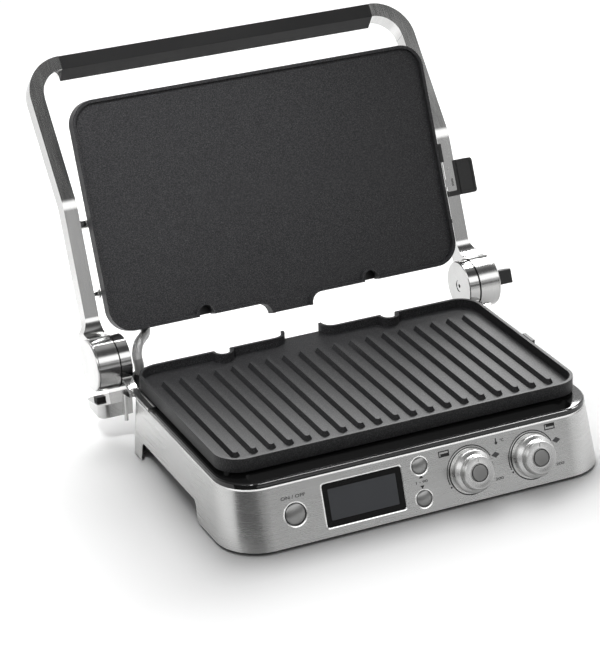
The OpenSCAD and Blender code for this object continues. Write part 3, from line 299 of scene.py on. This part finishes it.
def woven_sleeve():
    """Woven sleeve: two sets of threads that cross over a grey core."""
    s = Shader("woven_sleeve", Metallic=0.7)
    place = s.place()
    turned = [s.place(turn=(0, math.radians(lean), 0)) for lean in (45, -45)]
    threads = [s.node("TexWave", ("Vector", way), ("Scale", 320.0)).outputs["Fac"] for way in turned]
    weave = s.node("Math", (0, threads[0]), (1, threads[1]), operation="MULTIPLY").outputs[0]
    s.drive("Base Color", s.blend(s.span(weave, 0, 1, 0.1, 0.8), (0.22, 0.22, 0.22), (0.62, 0.62, 0.61)))
    s.drive("Roughness", s.span(s.noise(place, 300.0), 0.28, 0.42))
    s.drive("Normal", s.bump(weave, 0.00015, 0.5))
    return s.material


FINISH = {
    STEEL: ["steel_wrap", "lid_cover"],
    ARM: ["arm_left", "arm_right"],
    POLISHED: [
        "hinge_bracket_left", "hinge_bracket_right", "hub_cap_left", "hub_cap_right", "slider_clip",
        "pivot_pins", "stop_pins", "hinge_axle_left", "hinge_axle_right",
    ],
    COAT: ["lower_plate", "upper_plate"],
    DECK: ["deck_frame"],
    BLACK: [
        "height_slider", "hinge_release", "lower_catch", "upper_catch", "lid_frame",
        "lid_grommet", "conduit_gland", "cord_gland", "floor_pan", "drip_tray",
    ],
    GRIP: ["handle_grip"],
    DARK: ["panel_carrier"],
    RUBBER: ["rubber_feet", "shelf_pads"],
    woven_sleeve(): ["conduit"],
    GREY_METAL: ["handle_rod", "encoder_left", "encoder_right"],
    BRIGHT_SHEET: ["lower_reflector", "upper_reflector", "lower_heater_supports", "upper_heater_supports"],
    BUTTON: ["start_button", "timer_up_button", "timer_down_button", "knob_button_left", "knob_button_right"],
    RING: ["start_ring", "knob_ring_left", "knob_ring_right"],
    ELEMENT: ["lower_heater", "upper_heater"],
    CERAMIC: ["lower_sensor", "upper_sensor", "terminal_block"],
    BOARD: ["control_board", "display_module"],
    BEZEL: ["display_bezel"],
    GLASS: ["display_glass"],
    spun_metal("spun_left", "knob_left", PANEL_OUT): ["knob_left"],
    spun_metal("spun_right", "knob_right", PANEL_OUT): ["knob_right"],
}


def paint(piece, material):
    piece.data.materials.clear()
    piece.data.materials.append(material)
    for face in piece.data.polygons:
        face.material_index = 0


for finish, names in FINISH.items():
    for name in names:
        paint(nodes[name], finish)


HOLLOW_LOW, HOLLOW_HIGH = 1.2 * MM, 2.2 * MM  # over the deck, with the hollow's floor between them
LEVEL = 0.99  # how far up a normal points on a level face


def blacken_hollow(name):
    """Darkens the floor of the hollow on top of a hinge bracket's long strip."""
    piece = nodes[name]
    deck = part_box("deck_frame")[1].z
    piece.data.materials.append(DARK)
    for face in piece.data.polygons:
        level = face.normal.z > LEVEL and deck + HOLLOW_LOW < face.center.z < deck + HOLLOW_HIGH
        if level and face.center.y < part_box("lower_plate")[1].y:
            face.material_index = 1


blacken_hollow("hinge_bracket_left")
blacken_hollow("hinge_bracket_right")


DRUM_GAP_X = 194.7, 195.9
DRUM_GAP_RADIUS = 25.8, 26.1
DRUM_GAP_STEPS = 72


def painted_drum_gap_shade():
    """A thin dark band over the joint between each arm's drum and the fixed disc beside it: painted shade for
    the gap between them.
    """
    axis = Vector(joint("arm_hinge")["pos_m"])
    (near_x, far_x), (inner, outer) = DRUM_GAP_X, DRUM_GAP_RADIUS
    for side, name in ((-1, "drum_gap_shade_left"), (1, "drum_gap_shade_right")):
        mesh = bmesh.new()
        rows = [
            [
                mesh.verts.new((side * x * MM, axis.y + radius * MM * c, axis.z + radius * MM * s))
                for c, s in around(DRUM_GAP_STEPS)
            ]
            for x, radius in ((near_x, inner), (near_x, outer), (far_x, outer), (far_x, inner))
        ]
        close_rows(mesh, rows)
        bmesh.ops.recalc_face_normals(mesh, faces=mesh.faces)
        piece = build(name, mesh, GAP_SHADE)
        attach(piece, "base")


painted_drum_gap_shade()

# ------------------------------------------------------------------ softened edges

def stand_in(name, suffix):
    """A copy of a CAD node that rides and shows in the node's place, and its bmesh with joined points."""
    node = nodes[name]
    piece = link(name + suffix, node.data.copy())
    mesh = bmesh.new()
    mesh.from_mesh(piece.data)
    bmesh.ops.remove_doubles(mesh, verts=mesh.verts, dist=WELD)
    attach(piece, node["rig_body"])
    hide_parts(name)
    return piece, mesh


def even_shading(piece):
    """Lets the large faces of a piece set its shading, so flat faces look flat."""
    shading = piece.modifiers.new("shading", "WEIGHTED_NORMAL")
    shading.mode = "FACE_AREA_WITH_ANGLE"
    shading.weight = 100
    shading.keep_sharp = True


def crisp(name, angle=30, even=False):
    """Shades a node's round faces smooth and keeps its folds sharp."""
    piece, mesh = stand_in(name, "_crisp")
    if even:
        even_shading(piece)
    sharpen(mesh, angle)
    write_back(piece, mesh)


def turn_in(mesh, depth=1.3 * MM, reach=0.45 * MM):
    """Turns the top edge of the sheet housing in a little."""
    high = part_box("steel_wrap")[1]
    fold = high.z - depth
    cut_level(mesh, (0, 0, fold), (0, 0, 1))
    for vert in mesh.verts:
        if vert.co.z > fold + depth / 2:
            vert.co.x -= reach * vert.co.x / high.x
            vert.co.y -= reach * vert.co.y / high.y
    for edge in mesh.edges:
        if all(abs(vert.co.z - fold) < WELD for vert in edge.verts):
            edge.smooth = False


FLAT_ANGLE = 0.5  # degrees under which neighbouring facets count as one flat face


def soften(name, width, segments=2, angle=30, edge=None, alter=None):
    """Rounds a node's edges. Takes a material for the round edges and a change to make before them."""
    piece, mesh = stand_in(name, "_soft")
    bmesh.ops.dissolve_limit(
        mesh, angle_limit=math.radians(FLAT_ANGLE), use_dissolve_boundaries=False,
        verts=mesh.verts, edges=mesh.edges,
    )
    if alter:
        alter(mesh)
    write_back(piece, mesh)
    bevel = piece.modifiers.new("edges", "BEVEL")
    bevel.width = width
    bevel.segments = segments
    bevel.limit_method = "ANGLE"
    bevel.angle_limit = math.radians(angle)
    bevel.miter_outer = "MITER_ARC"
    if edge:
        piece.data.materials.append(edge)
        bevel.material = len(piece.data.materials) - 1
    even_shading(piece)


SOFT = {
    "handle_grip": 1.2 * MM, "height_slider": 0.8 * MM, "hinge_release": 0.6 * MM,
    "hub_cap_left": 0.8 * MM, "hub_cap_right": 0.8 * MM, "knob_left": 0.5 * MM, "knob_right": 0.5 * MM,
    "knob_button_left": 0.5 * MM, "knob_button_right": 0.5 * MM,
    "display_bezel": 0.2 * MM,
    "hinge_bracket_left": 0.3 * MM, "hinge_bracket_right": 0.3 * MM,
}
for name, width in SOFT.items():
    soften(name, width)

# The knobs' shadows would fall on the steel as dark patches that the photograph doesn't have.
for name in ("knob_left", "knob_right"):
    bpy.data.objects[name + "_soft"].visible_shadow = False


TOP_SEARCH = 8 * MM  # how far from the front edge the top surface is looked for
TOP_SKIN = 1.0 * MM  # how far under the top a point still belongs to it


def roll_front(name, start, fall, steps=8, angle=20):
    """Rolls a node's top surface down over its last stretch towards the front."""
    piece, mesh = stand_in(name, "_rolled")
    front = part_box(name)[0].y
    top = max(vert.co.z for vert in mesh.verts if vert.co.y < front + TOP_SEARCH)
    for step in range(steps):
        cut_level(mesh, (0, front + (start - front) * (step + 0.5) / steps, 0), (0, 1, 0))
    for vert in mesh.verts:
        if vert.co.y < start and vert.co.z > top - TOP_SKIN:
            vert.co.z -= fall * ((start - vert.co.y) / (start - front)) ** 2
    sharpen(mesh, angle)
    write_back(piece, mesh)


roll_front("deck_frame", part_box("lower_plate")[0].y - 4 * MM, 1.1 * MM)
# The housing's round edges take the brighter metal: a painted highlight along them.
soften("steel_wrap", 0.2 * MM, edge=EDGE_HIGHLIGHT, alter=turn_in)
for name in ("lower_plate", "upper_plate", "arm_left", "arm_right"):
    crisp(name, even=name.startswith("arm"))


def round_piece(name, suffix, profile, finish, steps=72):
    """Stands a turned piece in for a round control on the panel.

    The profile is a list of (radius, height over the top of the node).
    """
    low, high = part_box(name)
    place = panel_frame()
    centre = place.inverted() @ ((low + high) / 2)
    top = max((place.inverted() @ Vector(v.co)).z for v in nodes[name].data.vertices)
    mesh = bmesh.new()
    rows = []
    for radius, height in profile:
        if radius == 0:
            rows.append([mesh.verts.new((centre.x, centre.y, top + height))])
            continue
        rows.append([
            mesh.verts.new((centre.x + radius * c, centre.y + radius * s, top + height))
            for c, s in around(steps)
        ])
    for inner, outer in zip(rows, rows[1:]):
        for k in range(steps):
            n = (k + 1) % steps
            if len(inner) == 1:
                mesh.faces.new((inner[0], outer[k], outer[n]))
            elif len(outer) == 1:
                mesh.faces.new((inner[n], inner[k], outer[0]))
            else:
                mesh.faces.new((inner[k], outer[k], outer[n], inner[n]))
    for face in mesh.faces:
        face.smooth = True
    bmesh.ops.recalc_face_normals(mesh, faces=mesh.faces)
    piece = build(name + suffix, mesh, finish, place)
    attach(piece, nodes[name]["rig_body"])
    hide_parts(name)


CROWN_SHARE = 0.94  # of the button's radius
CROWN_RINGS = 8
BUTTON_RIM = 0.5 * MM
BUTTON_DEPTH = 3.5 * MM


def domed_button(name, rise):
    """A push button with a round crown and a small rim."""
    low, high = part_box(name)
    radius = (high.x - low.x) / 2
    crown = [
        (radius * CROWN_SHARE * k / CROWN_RINGS, rise * (1 - (k / CROWN_RINGS) ** 2) - rise)
        for k in range(CROWN_RINGS + 1)
    ]
    skirt = [(radius, -rise - BUTTON_RIM), (radius, -BUTTON_DEPTH), (0, -BUTTON_DEPTH)]
    round_piece(name, "_domed", crown + skirt, BUTTON)


domed_button("start_button", 1.6 * MM)
domed_button("timer_up_button", 1.3 * MM)
domed_button("timer_down_button", 1.3 * MM)


# ------------------------------------------------------------------ printed marks and painted shade

INK_LIFT = 0.03  # millimetres between a mark and what it is printed on
STROKE = 0.02  # how much letters are thickened, as a share of their size


class PrintAndShade:
    """Flat shapes on the leaning panel, for print and for painted shade, in millimetres: X to the right, Y up
    the slope.
    """

    def __init__(self, lift=INK_LIFT):
        self.mesh = bmesh.new()
        self.panel = panel_frame()
        self.lift = lift

    def shape(self, points):
        verts = [self.mesh.verts.new((x * MM, y * MM, self.lift * MM)) for x, y in points]
        self.mesh.faces.new(verts)

    def band(self, centre, radius, width, start, end, steps=40):
        """Part of a ring, from one angle to another in degrees."""
        ring = [math.radians(start + (end - start) * step / steps) for step in range(steps + 1)]
        for a, b in zip(ring, ring[1:]):
            self.shape([
                (centre[0] + r * math.cos(t), centre[1] + r * math.sin(t))
                for r, t in (
                    (radius - width / 2, a), (radius + width / 2, a), (radius + width / 2, b),
                    (radius - width / 2, b),
                )
            ])

    def dot(self, centre, radius, sides=12):
        self.shape([(centre[0] + radius * c, centre[1] + radius * s) for c, s in around(sides)])

    def box(self, centre, width, height):
        x, y, w, h = *centre, width / 2, height / 2
        self.shape([(x - w, y - h), (x + w, y - h), (x + w, y + h), (x - w, y + h)])

    def frame(self, centre, width, height, line):
        """Outline of a box."""
        x, y = centre
        for side in (-1, 1):
            self.box((x, y + side * (height - line) / 2), width, line)
            self.box((x + side * (width - line) / 2, y), line, height - 2 * line)

    def text(self, words, centre, height, width=None):
        """Letters of a given height, stretched to a width if one is given."""
        curve = bpy.data.curves.new("words", "FONT")
        curve.body = words
        curve.size = 1.0
        curve.offset = STROKE
        holder = bpy.data.objects.new("words", curve)
        outline = bpy.data.meshes.new_from_object(holder)
        low = [min(v.co[axis] for v in outline.vertices) for axis in (0, 1)]
        high = [max(v.co[axis] for v in outline.vertices) for axis in (0, 1)]
        tall = height / (high[1] - low[1])
        wide = width / (high[0] - low[0]) if width else tall
        middle = Vector(((low[0] + high[0]) / 2, (low[1] + high[1]) / 2, 0))
        for vertex in outline.vertices:
            at = vertex.co - middle
            vertex.co = ((centre[0] + at.x * wide) * MM, (centre[1] + at.y * tall) * MM, self.lift * MM)
        self.mesh.from_mesh(outline)
        bpy.data.objects.remove(holder)
        bpy.data.curves.remove(curve)
        bpy.data.meshes.remove(outline)

    def finish(self, name, material, body="base"):
        piece = build(name, self.mesh, material, self.panel)
        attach(piece, body)


def on_panel(name):
    """Middle of a control in the panel's own millimetres."""
    low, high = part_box(name)
    place = panel_frame().inverted() @ ((low + high) / 2)
    return place.x / MM, place.y / MM


def near(centre, right, up):
    """A place to the right of and above another one."""
    return centre[0] + right, centre[1] + up


ROUND = 0, 360  # degrees of a full ring
SCALE_RADIUS, SCALE_LINE, SCALE_ARC = 24.1, 1.0, (24, 200)
# Radius and width of the dark ring of painted shade round each knob.
KNOB_SHADE_RADIUS, KNOB_SHADE_LINE = 22.0, 1.1
STOP_RADIUS, STOP_ANGLE, STOP_SIZE = 24.2, math.radians(207), 1.0
DIAMOND_WIDE, DIAMOND_TALL = 4.4, 2.9
# How far out from each push button its dark ring of painted shade sits, and its width.
BUTTON_SHADE_OUT, BUTTON_SHADE_LINE = 0.2, 0.9
ARROW_WIDE, ARROW_TALL = 2.1, 1.6


def knob_marks(dark, grey, knob):
    """Scale, a ring of painted shade round the knob, end stop, diamond and highest number of one knob."""
    dark.band(knob, SCALE_RADIUS, SCALE_LINE, *SCALE_ARC)
    # A full dark ring round the knob: painted shade, not print.
    dark.band(knob, KNOB_SHADE_RADIUS, KNOB_SHADE_LINE, *ROUND, 72)
    stop = near(knob, STOP_RADIUS * math.cos(STOP_ANGLE), STOP_RADIUS * math.sin(STOP_ANGLE))
    dark.dot(stop, STOP_SIZE)
    x, y = near(knob, 27.6, 9.3)
    grey.shape([(x - DIAMOND_WIDE, y), (x, y - DIAMOND_TALL), (x + DIAMOND_WIDE, y), (x, y + DIAMOND_TALL)])
    dark.text("200", near(knob, 28.2, -13.4), 2.6, 8.6)


def plate_mark(dark, middle, filled):
    """Outline of a plate, filled towards its top (1) or its bottom (-1)."""
    dark.frame(middle, 11.0, 5.8, 1.0)
    dark.box((middle[0] + 0.8, middle[1] + filled * 1.2), 8.6, 2.8)


def thermometer_mark(dark, knob):
    stem = near(knob, 29.8, 22.0)
    dark.box(stem, 1.1, 5.0)
    dark.dot((stem[0], stem[1] - 2.0), 1.4)
    dark.text("\u00b0C", near(knob, 36.0, 21.6), 3.0)


def marks_and_painted_shade():
    """All print, and the dark rings of painted shade round the knobs and push buttons. Their places and sizes
    are millimetres from the control that they belong to.
    """
    dark, grey = PrintAndShade(), PrintAndShade()
    left, right = on_panel("knob_left"), on_panel("knob_right")
    for knob in (left, right):
        knob_marks(dark, grey, knob)
    plate_mark(dark, near(left, -24.4, 21.7), -1)
    plate_mark(dark, near(right, 22.4, 23.4), 1)
    thermometer_mark(dark, left)

    # Dark rings round the push buttons: painted shade in the gaps round them.
    for name in ("start_button", "timer_up_button", "timer_down_button"):
        low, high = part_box(name)
        radius = (high.x - low.x) / 2 / MM + BUTTON_SHADE_OUT
        dark.band(on_panel(name), radius, BUTTON_SHADE_LINE, *ROUND, 48)
    up, down = on_panel("timer_up_button"), on_panel("timer_down_button")
    middle = (up[0] + down[0]) / 2, (up[1] + down[1]) / 2
    for side in (-1, 1):
        x, y = near(middle, 0, side * 5.0)
        foot, tip = y - side * ARROW_TALL, y + side * ARROW_TALL
        dark.shape([(x - ARROW_WIDE, foot), (x + ARROW_WIDE, foot), (x, tip)][::side])
    dark.text("1 - 90", middle, 2.4, 12.0)
    dark.text("ON / OFF", near(on_panel("start_button"), 0, 16.0), 3.0, 24.0)
    dark.finish("panel_marks", INK_AND_SHADE)
    grey.finish("panel_tints", INK_GREY)


def spread(name):
    """Outline box of a control in the panel's own millimetres: left, right, bottom, top and height."""
    place = panel_frame().inverted()
    at = [place @ vert.co / MM for vert in nodes[name].data.vertices]
    return [f(v[axis] for v in at) for axis, f in ((0, min), (0, max), (1, min), (1, max), (2, max))]


def outline(box, corner, out, steps=10):
    """Points of a box with round corners, moved outward."""
    left, right, bottom, top = box
    points = []
    for quarter, (x, y) in enumerate((
        (right - corner, top - corner), (left + corner, top - corner), (left + corner, bottom + corner),
        (right - corner, bottom + corner),
    )):
        for step in range(steps + 1):
            angle = math.radians(90 * (quarter + step / steps))
            points.append((x + (corner + out) * math.cos(angle), y + (corner + out) * math.sin(angle)))
    return points


DISPLAY_CORNER = 2.0
RIM_OPENINGS = {  # millimetres from each opening's control to where its rim starts
    "display_bezel": 0.1, "start_button": 0.8, "timer_up_button": 0.7, "timer_down_button": 0.7,
}
RIM_PROFILE = (0, -0.2), (0, 0.02), (1.1, 0.32), (1.35, 0.0), (1.35, -0.2)  # outward, and off the panel


def opening_rims():
    """Low rims round the panel's openings that slope in towards them, as pressed sheet does, in a metal
    brighter than the steel: a painted highlight round each opening.
    """
    mesh = bmesh.new()
    for name, start in RIM_OPENINGS.items():
        box = spread(name)[:4]
        corner = DISPLAY_CORNER if name == "display_bezel" else (box[1] - box[0]) / 2
        rows = [
            [mesh.verts.new((x * MM, y * MM, rise * MM)) for x, y in outline(box, corner, start + out)]
            for out, rise in RIM_PROFILE
        ]
        close_rows(mesh, rows)
    bmesh.ops.remove_doubles(mesh, verts=mesh.verts, dist=0.1 * WELD)
    bmesh.ops.recalc_face_normals(mesh, faces=mesh.faces)
    piece = build("opening_rims", mesh, EDGE_HIGHLIGHT, panel_frame())
    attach(piece, "base")


# How far out from each knob's push button its ring of painted shade sits, and its width.
KNOB_GAP_OUT, KNOB_GAP_LINE = 0.15, 0.8


def painted_knob_gap_shade():
    """A flat dark ring round each knob's push button, level with the rim of the dished knob: painted shade
    for the gap round the button.
    """
    for side in ("left", "right"):
        left, right, bottom, top, height = spread("knob_button_" + side)
        face = max(height, spread("knob_" + side)[4])
        ring = PrintAndShade(face + INK_LIFT)
        middle, radius = ((left + right) / 2, (bottom + top) / 2), (right - left) / 2
        ring.band(middle, radius + KNOB_GAP_OUT, KNOB_GAP_LINE, *ROUND, 48)
        ring.finish("knob_gap_shade_" + side, INK_AND_SHADE, "knob_" + side)


opening_rims()
painted_knob_gap_shade()
marks_and_painted_shade()

# ------------------------------------------------------------------ studio

WHITE = (1, 1, 1, 1)
AMBIENT = 0.09  # what light off matt surfaces finds around it
WORLD_STRENGTH = 1.8

LENS = 159.56
SHIFT = -0.052, 0.0038
CAMERA_PLACE = -0.9679, -2.0617, 1.1672
HEADING, PITCH, ROLL = math.radians(-24.47), math.radians(24.33), math.radians(-1.69)


def camera():
    """The view from in front, to the left and above."""
    data = bpy.data.cameras.new("camera")
    data.sensor_fit = "HORIZONTAL"
    data.sensor_width = 36.0
    data.lens = LENS
    data.shift_x, data.shift_y = SHIFT
    made = link("camera", data)
    turn = Matrix.Rotation(HEADING, 4, "Z") @ Matrix.Rotation(math.pi / 2 - PITCH, 4, "X")
    made.matrix_world = Matrix.Translation(CAMERA_PLACE) @ turn @ Matrix.Rotation(ROLL, 4, "Z")
    bpy.context.scene.camera = made


def aim(lamp, place, target):
    lamp.location = place
    lamp.rotation_euler = (Vector(target) - Vector(place)).to_track_quat("-Z", "Y").to_euler()


def panel_light(name, place, target, size, power, lights="diffuse"):
    """A flat lamp that lights matt surfaces only, or is only seen in reflections."""
    data = bpy.data.lights.new(name, "AREA")
    data.shape = "RECTANGLE"
    data.size, data.size_y = size
    data.energy = power
    made = link(name, data)
    made.visible_glossy = lights != "diffuse"
    made.visible_diffuse = lights != "glossy"
    aim(made, place, target)


def spot(name, place, target, cone, power):
    """A spot lamp with a soft edge that reflections don't show."""
    data = bpy.data.lights.new(name, "SPOT")
    data.energy = power
    data.spot_size = math.radians(cone)
    data.spot_blend = 0.8
    data.shadow_soft_size = 0.12
    made = link(name, data)
    made.visible_glossy = False
    aim(made, place, target)


def ramp(tree, value, stops):
    """Grey tones over a value from 0 to 1."""
    made = tree.nodes.new("ShaderNodeValToRGB")
    tree.links.new(value, made.inputs[0])
    band = made.color_ramp
    while len(band.elements) < len(stops):
        band.elements.new(0.5)
    for element, (where, tone) in zip(band.elements, stops):
        element.position = where
        element.color = (tone, tone, tone, 1)
    return made.outputs[0]


# Tones by height: from the level (0) to straight up (1).
FRONT_TONES = [
    (0.0, 0.30), (0.10, 0.28), (0.15, 0.08), (0.26, 0.08), (0.31, 0.32), (0.35, 0.34), (0.39, 0.12),
    (0.47, 0.90), (0.52, 1.0), (0.70, 1.0), (0.76, 0.20), (0.81, 0.05), (0.93, 0.05), (1.0, 0.30),
]
BACK_TONES = [(0.0, 0.55), (0.5, 0.55), (0.8, 0.12), (1.0, 0.35)]
# Tones near the level, by heading: once round the object, with the front in the middle.
LOW_TONES = [
    (0.0, 0.55), (0.25, 0.52), (0.389, 0.48), (0.425, 0.38), (0.444, 0.29), (0.486, 0.16), (0.514, 0.10),
    (0.683, 0.09), (0.706, 0.55), (1.0, 0.55),
]
BACK_BLEND = -0.15, 0.25
LOW_BLEND = 0.10, 0.15


def surroundings():
    """The studio that reflections show: bands of light and dark by height in front and behind.

    Near the level the tones go by heading instead. The camera itself sees white, and light off matt
    surfaces finds one even grey.
    """
    world = bpy.data.worlds.new("studio")
    bpy.context.scene.world = world
    world.use_nodes = True
    tree = world.node_tree

    def node(kind, *links, **settings):
        return add_node(tree, kind, *links, **settings)

    def mix(factor, a, b):
        return node("Mix", (0, factor), (6, a), (7, b), data_type="RGBA").outputs[2]

    def negative(value):
        return node("Math", (0, value), (1, -1.0), operation="MULTIPLY").outputs[0]

    x, y, height = node("SeparateXYZ", (0, node("TexCoord").outputs["Generated"])).outputs
    backward = node("MapRange", (0, y), (1, BACK_BLEND[0]), (2, BACK_BLEND[1])).outputs[0]
    high = mix(backward, ramp(tree, height, FRONT_TONES), ramp(tree, height, BACK_TONES))

    heading = node("Math", (0, negative(x)), (1, negative(y)), operation="ARCTAN2").outputs[0]
    turn = node("MapRange", (0, heading), (1, -math.pi), (2, math.pi)).outputs[0]
    lifted = node("MapRange", (0, height), (1, LOW_BLEND[0]), (2, LOW_BLEND[1])).outputs[0]
    seen = mix(lifted, ramp(tree, turn, LOW_TONES), high)

    path = node("LightPath").outputs
    scattered = node("Math", (0, path["Diffuse Depth"]), (1, 0.5), operation="GREATER_THAN").outputs[0]
    lit = mix(scattered, seen, (AMBIENT, AMBIENT, AMBIENT, 1))
    shown = mix(path["Is Camera Ray"], lit, WHITE)
    background = tree.nodes["Background"]
    tree.links.new(shown, background.inputs[0])
    background.inputs[1].default_value = WORLD_STRENGTH


CARD_START, CARD_SWEEP, CARD_PARTS = -3, 75, 12
CARD_RADIUS, CARD_HEIGHT = 0.22, 0.11


def dark_card():
    """A low black card off the front left corner, there only for what the steel reflects."""
    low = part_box("steel_wrap")[0]
    corner = Vector((low.x, low.y, 0))
    mesh = bmesh.new()
    edge = []
    for part in range(CARD_PARTS + 1):
        heading = math.radians(CARD_START + CARD_SWEEP * part / CARD_PARTS)
        foot = corner + CARD_RADIUS * Vector((-math.sin(heading), -math.cos(heading), 0))
        edge.append((mesh.verts.new(foot), mesh.verts.new(foot + Vector((0, 0, CARD_HEIGHT)))))
    for (a, b), (c, d) in zip(edge, edge[1:]):
        mesh.faces.new((a, c, d, b))
    card = build("dark_card", mesh, DARK)
    card.visible_camera = card.visible_diffuse = card.visible_shadow = False


FLOOR_SIZE = 14
GLOW, GLOW_REACH = 0.40, 0.15


def floor():
    """A pale floor that gives off a little light, from none at the base to its most a short way off."""
    bpy.ops.mesh.primitive_plane_add(size=FLOOR_SIZE, location=(0, 0, 0))
    made = bpy.context.object
    made.name = "floor"
    s = Shader("floor", Roughness=0.6, Emission_Color=WHITE)
    s.drive("Base Color", s.blend(s.noise(s.place(), 3.0), (0.86, 0.86, 0.86), (0.9, 0.9, 0.9)))
    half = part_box("steel_wrap")[1]
    out = s.node("VectorMath", (0, s.place()), operation="ABSOLUTE").outputs[0]
    out = s.node("VectorMath", (0, out), (1, (half.x, half.y, 0)), operation="SUBTRACT").outputs[0]
    out = s.node("VectorMath", (0, out), (1, (0, 0, 0)), operation="MAXIMUM").outputs[0]
    away = s.node("VectorMath", (0, out), operation="LENGTH").outputs["Value"]
    s.drive("Emission Strength", s.span(away, 0.0, GLOW, 0.0, GLOW_REACH))
    made.data.materials.append(s.material)


camera()
surroundings()
floor()
dark_card()
panel_light("overhead", (0.0, 0.9, 1.9), (0, 0, 0), (1.8, 1.2), 27)
spot("lid_spot", (-0.55, -0.4, 1.0), (-0.13, 0.24, 0.28), 34, 75)
panel_light("rim", (0.82, 1.47, 1.75), (0, 0, 0.1), (2.0, 1.3), 110, "glossy")
bpy.context.scene.view_settings.view_transform = "Standard"
